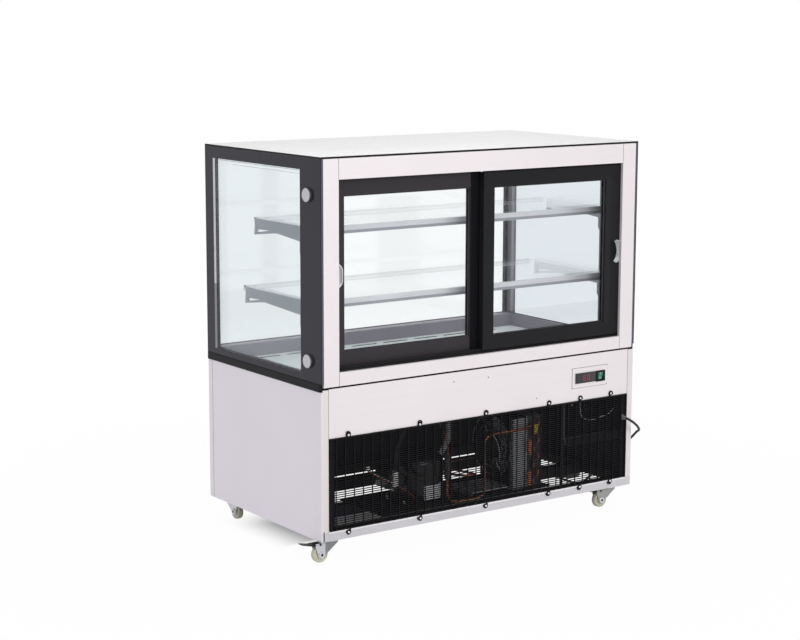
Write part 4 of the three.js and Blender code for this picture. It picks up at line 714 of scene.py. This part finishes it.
# %% Its plain patch and gas pipe
patch = bmesh.new()
patch_centre = at(-160, -190, 0)
toward = Vector((math.sin(view_azimuth), -math.cos(view_azimuth), 0)).normalized()
start_side = Matrix.Rotation(math.radians(15), 3, "Z") @ toward
corners = [patch.verts.new(patch_centre + start_side * 0.0806 + Vector((0, 0, z / 1000)))
           for z in (120, 167)]
edge = patch.edges.new(corners)
bmesh.ops.spin(patch, geom=corners + [edge], cent=patch_centre, axis=(0, 0, 1),
               angle=math.radians(48), steps=14)
bmesh.ops.remove_doubles(patch, verts=patch.verts, dist=1e-6)
bmesh.ops.recalc_face_normals(patch, faces=patch.faces)
bmesh.ops.solidify(patch, geom=patch.faces[:], thickness=0.0003)
white_plastic = painted("white_plastic", (0.84, 0.84, 0.85), (0.93, 0.93, 0.94), 0.35)
finished("plain_patch", patch, white_plastic)

wire("gas_pipe", [
    (-88, -200, 178), (-60, -256, 181), (-38, -284, 181), (-10, -282, 180), (4, -256, 176),
    (16, -200, 168), (26, -110, 160), (66, -40, 158), (170, -24, 158), (214, -28, 158),
    (227, -36, 158), (227, -46.3, 158)], 4, finishes["copper"])

# %% [markdown]
# ## Round the coil and the fan
# The header stubs of the coil are bare copper, painted a brighter copper than the pipes as painted
# light where they catch it through the grille. Beside them hangs a small plain tag. The shroud's side
# is a pale sheet with a fold, and a wire guard closes the fan's ring towards the motor. To the right a
# grey rail hangs from the tub's floor.

# %% Header stubs and tag
stubs = bmesh.new()
stub_line = [(0, 0), (4.8, 0), (6.2, 1.6), (6.2, 46), (4.8, 47.6), (0, 47.6)]
for low_z in (218, 116):
    add_spun(stubs, stub_line, at(200, -297, low_z), (0, 0, 1), 20)
# Painted light: the stubs are a brighter copper than the pipes, where they catch the light.
lit_stub_copper = brushed("lit_stub_copper", (0.72, 0.13, 0.06), (0.92, 0.26, 0.12), 0.2, 0.36, (70.0, 70.0, 70.0))
finished("header_stubs", stubs, lit_stub_copper)

tag = bmesh.new()
add_bar(tag, at(212, -304.4, 285), at(226, -303.4, 314), 0.3, 1)
tag_yellow = painted("tag_yellow", (0.55, 0.42, 0.02), (0.78, 0.62, 0.05), 0.5)
finished("plain_tag", tag, tag_yellow)

# %% Shroud side and rail
shroud_side = bmesh.new()
add_bar(shroud_side, at(143, -284.2, 107), at(196.6, -283.2, 337), 0.3, 1)
add_bar(shroud_side, at(143, -284.2, 107), at(144, -272, 337), 0.3, 1)
shroud_zinc = brushed("shroud_zinc", (0.30, 0.31, 0.33), (0.50, 0.51, 0.54), 0.4, 0.45,
                      (30.0, 30.0, 500.0))
finished("shroud_side", shroud_side, shroud_zinc)

rail = bmesh.new()
add_bar(rail, at(372, -256, 213), at(596, -250, 237), 1.0)
add_bar(rail, at(372, -256, 213), at(378, -250, 384), 1.0)
rail_grey = painted("rail_grey", (0.16, 0.15, 0.155), (0.24, 0.225, 0.23), 0.5)
finished("bay_rail", rail, rail_grey)

# %% Fan guard
guard = bmesh.new()
octagon = [(1.4 * math.cos(k * math.tau / 8), 1.4 * math.sin(k * math.tau / 8)) for k in range(8)]
for ring_radius in (97.5, 72, 50):
    ring = [(ring_radius + out, along) for out, along in octagon]
    add_spun(guard, ring, at(151.5, -165, 228), (1, 0, 0), 48, closed=True)
hub = at(150.4, -165, 228)
for spoke in range(6):
    reach = Matrix.Rotation(math.radians(60 * spoke + 30), 3, "X") @ Vector((0, 0, 1))
    add_rod(guard, hub + reach * 0.044, hub + reach * 0.098, 1.3, 8)
finished("fan_guard", guard, finishes["fork_zinc"])

# %% [markdown]
# ## Wires and hose in the bay
# Behind the grille a bundle of coloured wires leaves a white connector, a black hose bends down to
# the compressor, and pale wires hang near the switch. Each follows a smooth curve through the places
# where the photograph shows it.

# %% Wires and hose
wire_red = painted("wire_red", (0.30, 0.02, 0.02), (0.48, 0.05, 0.04), 0.4)
wire_white = painted("wire_white", (0.55, 0.55, 0.55), (0.70, 0.70, 0.70), 0.4)
wire_green = painted("wire_green", (0.05, 0.16, 0.04), (0.12, 0.28, 0.08), 0.4)
bundle = [(-404, -262, 250), (-388, -264, 240), (-351, -266, 217), (-304, -270, 192)]
sleeves = (("red", wire_red), ("white", wire_white), ("green", wire_green))
for count, (colour, sleeve) in enumerate(sleeves):
    spots = [(x, y + 1.6 * count, z + 2.6 * count - 2.6) for x, y, z in bundle]
    wire(f"bundle_{colour}", spots, 1.3, sleeve)
wire("relay_wire", [
    (-290, -271, 183), (-266, -276, 166), (-240, -279, 146), (-228, -270, 130), (-226, -256, 118)],
     1.5, wire_red)
wire("black_hose", [
    (-262, -278, 383), (-272, -290, 368), (-292, -294, 348), (-303, -294, 328), (-310, -292, 298),
    (-312, -290, 272), (-306, -282, 245), (-292, -262, 222), (-280, -240, 212)],
     4.5, finishes["rubber"])
wire("switch_wires", [
    (357, -305, 353), (392, -306, 370), (399, -306, 345), (403, -305, 322), (420, -305, 306),
    (446, -305, 300), (489, -305, 305), (523, -307, 314), (536, -312, 330)],
     1.3, wire_white)

# %% Connectors, foam sleeve and guard wire
connector = bmesh.new()
add_bar(connector, at(-307, -276, 180), at(-291, -266, 229), 1.2)
add_bar(connector, at(-400, -268, 244), at(-390, -260, 256), 1.0)
finished("wire_connectors", connector, white_plastic)

foam_white = painted("foam_white", (0.50, 0.50, 0.50), (0.66, 0.66, 0.66), 0.8, 160.0, 0.0004)
wire("foam_sleeve", [
    (56, -62, 383), (57, -60, 290), (57, -60, 250), (44, -62, 226), (18, -66, 196)],
     10, foam_white)
wire("guard_wire", [(82, -262, 288), (95, -262, 268), (105, -262, 240), (109, -262, 200)],
     1.6, finishes["fork_zinc"])
print("bay pieces so far", len(made))

# %% [markdown]
# ## Doors
# Around each door's glass lies a soft seal, and on the handle side the profile has a step with a
# lighter face. Both are narrow bars with rounded edges, laid on the CAD frames, and they ride with
# their doors.

# %% Seals round the glass
door_faces = {"right": (-318, 33, 478), "left": (-292, -495, -40)}
seal_dark = painted("seal_dark", (0.03, 0.03, 0.033), (0.05, 0.05, 0.055), 0.7)
for side, (face, x0, x1) in door_faces.items():
    seal = bmesh.new()
    glass_face = face + 8.7
    for low, high in (((x0, 620), (x1, 623)), ((x0, 1070), (x1, 1073)), ((x0, 623), (x0 + 3, 1070)),
                      ((x1 - 3, 623), (x1, 1070))):
        add_bar(seal, at(low[0], glass_face - 3.5, low[1]), at(high[0], glass_face, high[1]), 0.8)
    finished(f"glass_seal_{side}", seal, seal_dark, f"door_{side}")

# %% Handle profile and meeting brush
profile_pale = painted("profile_pale", (0.013, 0.013, 0.015), (0.020, 0.020, 0.023), 0.45, shine=0.12)
step = bmesh.new()
add_bar(step, at(479, -318.7, 615), at(500, -317.9, 1085), 0.3, 1)
finished("handle_profile_right", step, profile_pale, "door_right")
brush = bmesh.new()
add_bar(brush, at(-4.2, -295.9, 580), at(-1.2, -292.6, 1114), 0.4, 1)
finished("meeting_brush", brush, seal_dark, "door_right")

# %% [markdown]
# ## Lit strips under the shelves
# Each shelf carries a bar along its front edge with a row of small lamps under a clear cover. The
# lamps are drawn as bright dots in the strip's own finish, which is lighter to export than sixty
# separate beads.

# %% Lamp strips
strip_light = Finish("strip_light")
dots = strip_light.node("ShaderNodeTexVoronoi", {"feature": "F1"},
                        {"Vector": strip_light.place(60.0, 0.0, 0.0), "Scale": 1.0, "Randomness": 0.0})
glow = strip_light.tint(dots.below(0.28), (0.25, 0.26, 0.27), (0.9, 0.92, 0.95))
strip_light.done(strip_light.surface(base_color=(0.85, 0.87, 0.88, 1), roughness=0.3,
                                     emission_color=glow, emission_strength=0.9))
for name, top, glass_front in (("lower", 764, 168), ("upper", 980, 102)):
    strip = bmesh.new()
    add_bar(strip, at(-545, glass_front - 11, top - 17.6), at(545, glass_front - 1, top - 15.9), 0.4, 1)
    finished(f"lamp_strip_{name}", strip, strip_light.material)

# %% [markdown]
# ## Buttons, clips and the controls
# The side panes are clamped by round steel buttons over a black washer. The wire clips of the
# grilles are held by small pan-head screws. The thermostat has a smoked window with two lit digits
# and four keys, and the rocker has the usual line and circle.

# %% Washers behind the glass buttons
washers = bmesh.new()
for side in (-1, 1):
    for height in (598, 1079):
        add_spun(washers, [(16.5, 600.05), (22.5, 600.05), (23, 600.7), (22.5, 601.6), (16.5, 601.6)],
                 at(0, -265, height), (side, 0, 0), 40, closed=True)
finished("button_washers", washers, finishes["rubber"])

# %% Screws in the clips, each in its black ring
screws, rings = bmesh.new(), bmesh.new()
clip_places = [(-508, 380), (-252, 379), (-3, 381), (247, 383), (376, 384), (504, 385),
               (-508, 88.5), (-249, 89), (0, 89), (251, 91.5), (380, 93.5), (509, 94.5)]
for clip_x, clip_z in clip_places:
    middle = at(clip_x, -330.1, clip_z)
    add_spun(screws, [(0, 0), (3.9, 0), (3.9, 2.6), (3.0, 3.8), (0, 4.2)], middle, (0, -1, 0), 18)
    add_spun(rings, [(4.2, 0.2), (7.6, 0.2), (8.0, 1.4), (7.2, 2.8), (5.0, 2.8), (4.2, 1.4)], middle,
             (0, -1, 0), 24, closed=True)
finished("clip_screws", screws, finishes["pull_metal"])
finished("clip_rings", rings, finishes["black_steel"])

# %% Thermostat face
face = bmesh.new()
add_bar(face, at(357, -334.6, 435), at(434, -333.9, 462), 0.5)
finished("thermostat_window", face, finishes["thermostat_black"])
digit_red = Finish("digit_red")
flicker = digit_red.noise(digit_red.place(), 900.0, 1.0, 0.5)
digit_glow = digit_red.tint(flicker, (0.55, 0.02, 0.06), (0.80, 0.05, 0.10))
digit_red.done(digit_red.surface(base_color=(0.2, 0.01, 0.02, 1), roughness=0.3,
                                 emission_strength=0.28, emission_color=digit_glow))
segments = {"a": (1, 15, 9, 17), "b": (8, 9, 10, 16), "c": (8, 1, 10, 8), "d": (1, 0, 9, 2),
            "e": (0, 1, 2, 8), "f": (0, 9, 2, 16), "g": (1, 7.5, 9, 9.5)}
digits = bmesh.new()
for left_x, lit in ((385, "acdefg"), (401, "abcdef")):
    for letter in lit:
        u0, v0, u1, v1 = segments[letter]
        add_bar(digits, at(left_x + u0, -334.85, 440 + v0), at(left_x + u1, -334.55, 440 + v1))
finished("thermostat_digits", digits, digit_red.material)
keys = bmesh.new()
for key_x in (362, 373):
    for key_z in (440, 451):
        add_bar(keys, at(key_x, -335.1, key_z), at(key_x + 8, -334.4, key_z + 7), 0.5)
finished("thermostat_keys", keys, seal_dark)

# %% Rocker marks
marks = bmesh.new()
add_bar(marks, at(457.4, -333.6, 452.5), at(458.6, -333.2, 457.0), 0.1, 1)
ring_line = [(2.4, -0.2), (3.2, -0.2), (3.2, 0.2), (2.4, 0.2)]
add_spun(marks, ring_line, at(458, -331.6, 440.5), (0, 1, 0.18), 24, closed=True)
finished("rocker_marks", marks, white_plastic, "rocker")
print("small pieces", len(made))

# %% [markdown]
# ## Casters
# Each wheel is a nylon tread on a hub, turned on a lathe, so a closed line is spun about its axle.
# The fork's cheeks show rivets and a bright washer round the axle's dark end.

# %% Wheels
wheel_half = [(4.4, -10), (9, -10), (9.6, -8), (11, -6.5), (18, -6.5), (19.6, -8.4), (22, -9),
              (24, -8), (25, -5)]
wheel_line = wheel_half + [(radius, -along) for radius, along in reversed(wheel_half)]
wheel_places = {
    "rear_left": ((-584, -290, 25), (0, 1, 0)), "rear_right": ((500, -290, 25), (0, 1, 0)),
    "front_left": ((-542, 258, 25), (1, 0, 0)), "front_right": ((542, 258, 25), (1, 0, 0))}
for name, (centre, axle) in wheel_places.items():
    tread = bmesh.new()
    add_spun(tread, wheel_line, at(*centre), axle, 48, closed=True)
    wheel = finished(f"wheel_{name}", tread, finishes["wheel_nylon"], f"wheel_{name}")
    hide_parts(f"caster_wheel_{name}")

# %% Washers, axle ends and rivets
washer_line = [(4.1, 12.9), (9.5, 12.9), (9.5, 15.3), (8.8, 15.9), (4.1, 15.9)]
axle_end = [(0, 14.0), (4.0, 14.0), (4.0, 16.2), (0, 16.6)]
rivet_line = [(0, 12.8), (3.0, 12.8), (2.8, 15.4), (0, 16.0)]
race_line = [(15.5, 60.5), (17.8, 60.5), (18.2, 62), (17.4, 64), (18.2, 66), (17.8, 68.6), (15.5, 68.6)]
stem_places = {"rear_left": ((-542, -290), (-1, 0)), "rear_right": ((542, -290), (-1, 0)),
               "front_left": ((-542, 300), (0, -1)), "front_right": ((542, 300), (0, -1))}
for name, (stem, heading) in stem_places.items():
    centre, axle = wheel_places[name]
    hardware, dark_ends = bmesh.new(), bmesh.new()
    for side in (-1, 1):
        outward = Vector(axle) * side
        add_spun(hardware, washer_line, at(*centre), outward, 28, closed=True)
        add_spun(dark_ends, axle_end, at(*centre), outward, 20)
        for along, height in ((46, 56), (66, 57)):
            rivet = at(stem[0] + heading[0] * along, stem[1] + heading[1] * along, height)
            add_spun(dark_ends, rivet_line, rivet, outward, 16)
    add_spun(hardware, race_line, at(*stem, 0), (0, 0, 1), 36, closed=True)
    finished(f"caster_washers_{name}", hardware, finishes["fork_zinc"], f"caster_{name}")
    finished(f"caster_rivets_{name}", dark_ends, finishes["black_steel"], f"caster_{name}")

# %% [markdown]
# ## Strain relief and the cord's facts
# Where the cord leaves its gland, a tapered ribbed sleeve keeps it from bending sharply. The cord
# takes the rubber finish and rides with the case, and the imported gland, free cord and coil are
# hidden.

# %% Strain relief
relief = bmesh.new()
relief_line = [(0, 0), (9.2, 0), (9.2, 4), (8.4, 4.8)]
for rib in range(5):
    start, radius = 6.0 + rib * 3.2, 7.8 - rib * 0.55
    relief_line += [(radius, start), (radius, start + 1.8),
                    (radius - 1.0, start + 2.3), (radius - 1.0, start + 2.9)]
relief_line += [(4.6, 22.2), (0, 22.2)]
add_spun(relief, relief_line, at(560, -324.3, 298), (0, -1, 0), 28)
cord_relief = finished("cord_relief", relief, finishes["gland_grey"])
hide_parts("cord_gland")

# %% The cord's finish and body
supply_cord.data.materials.append(finishes["rubber"])
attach(supply_cord, "case")
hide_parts("cord_free", "cord_coil")
at(560, -342, 298)
print("pieces made", len(made))
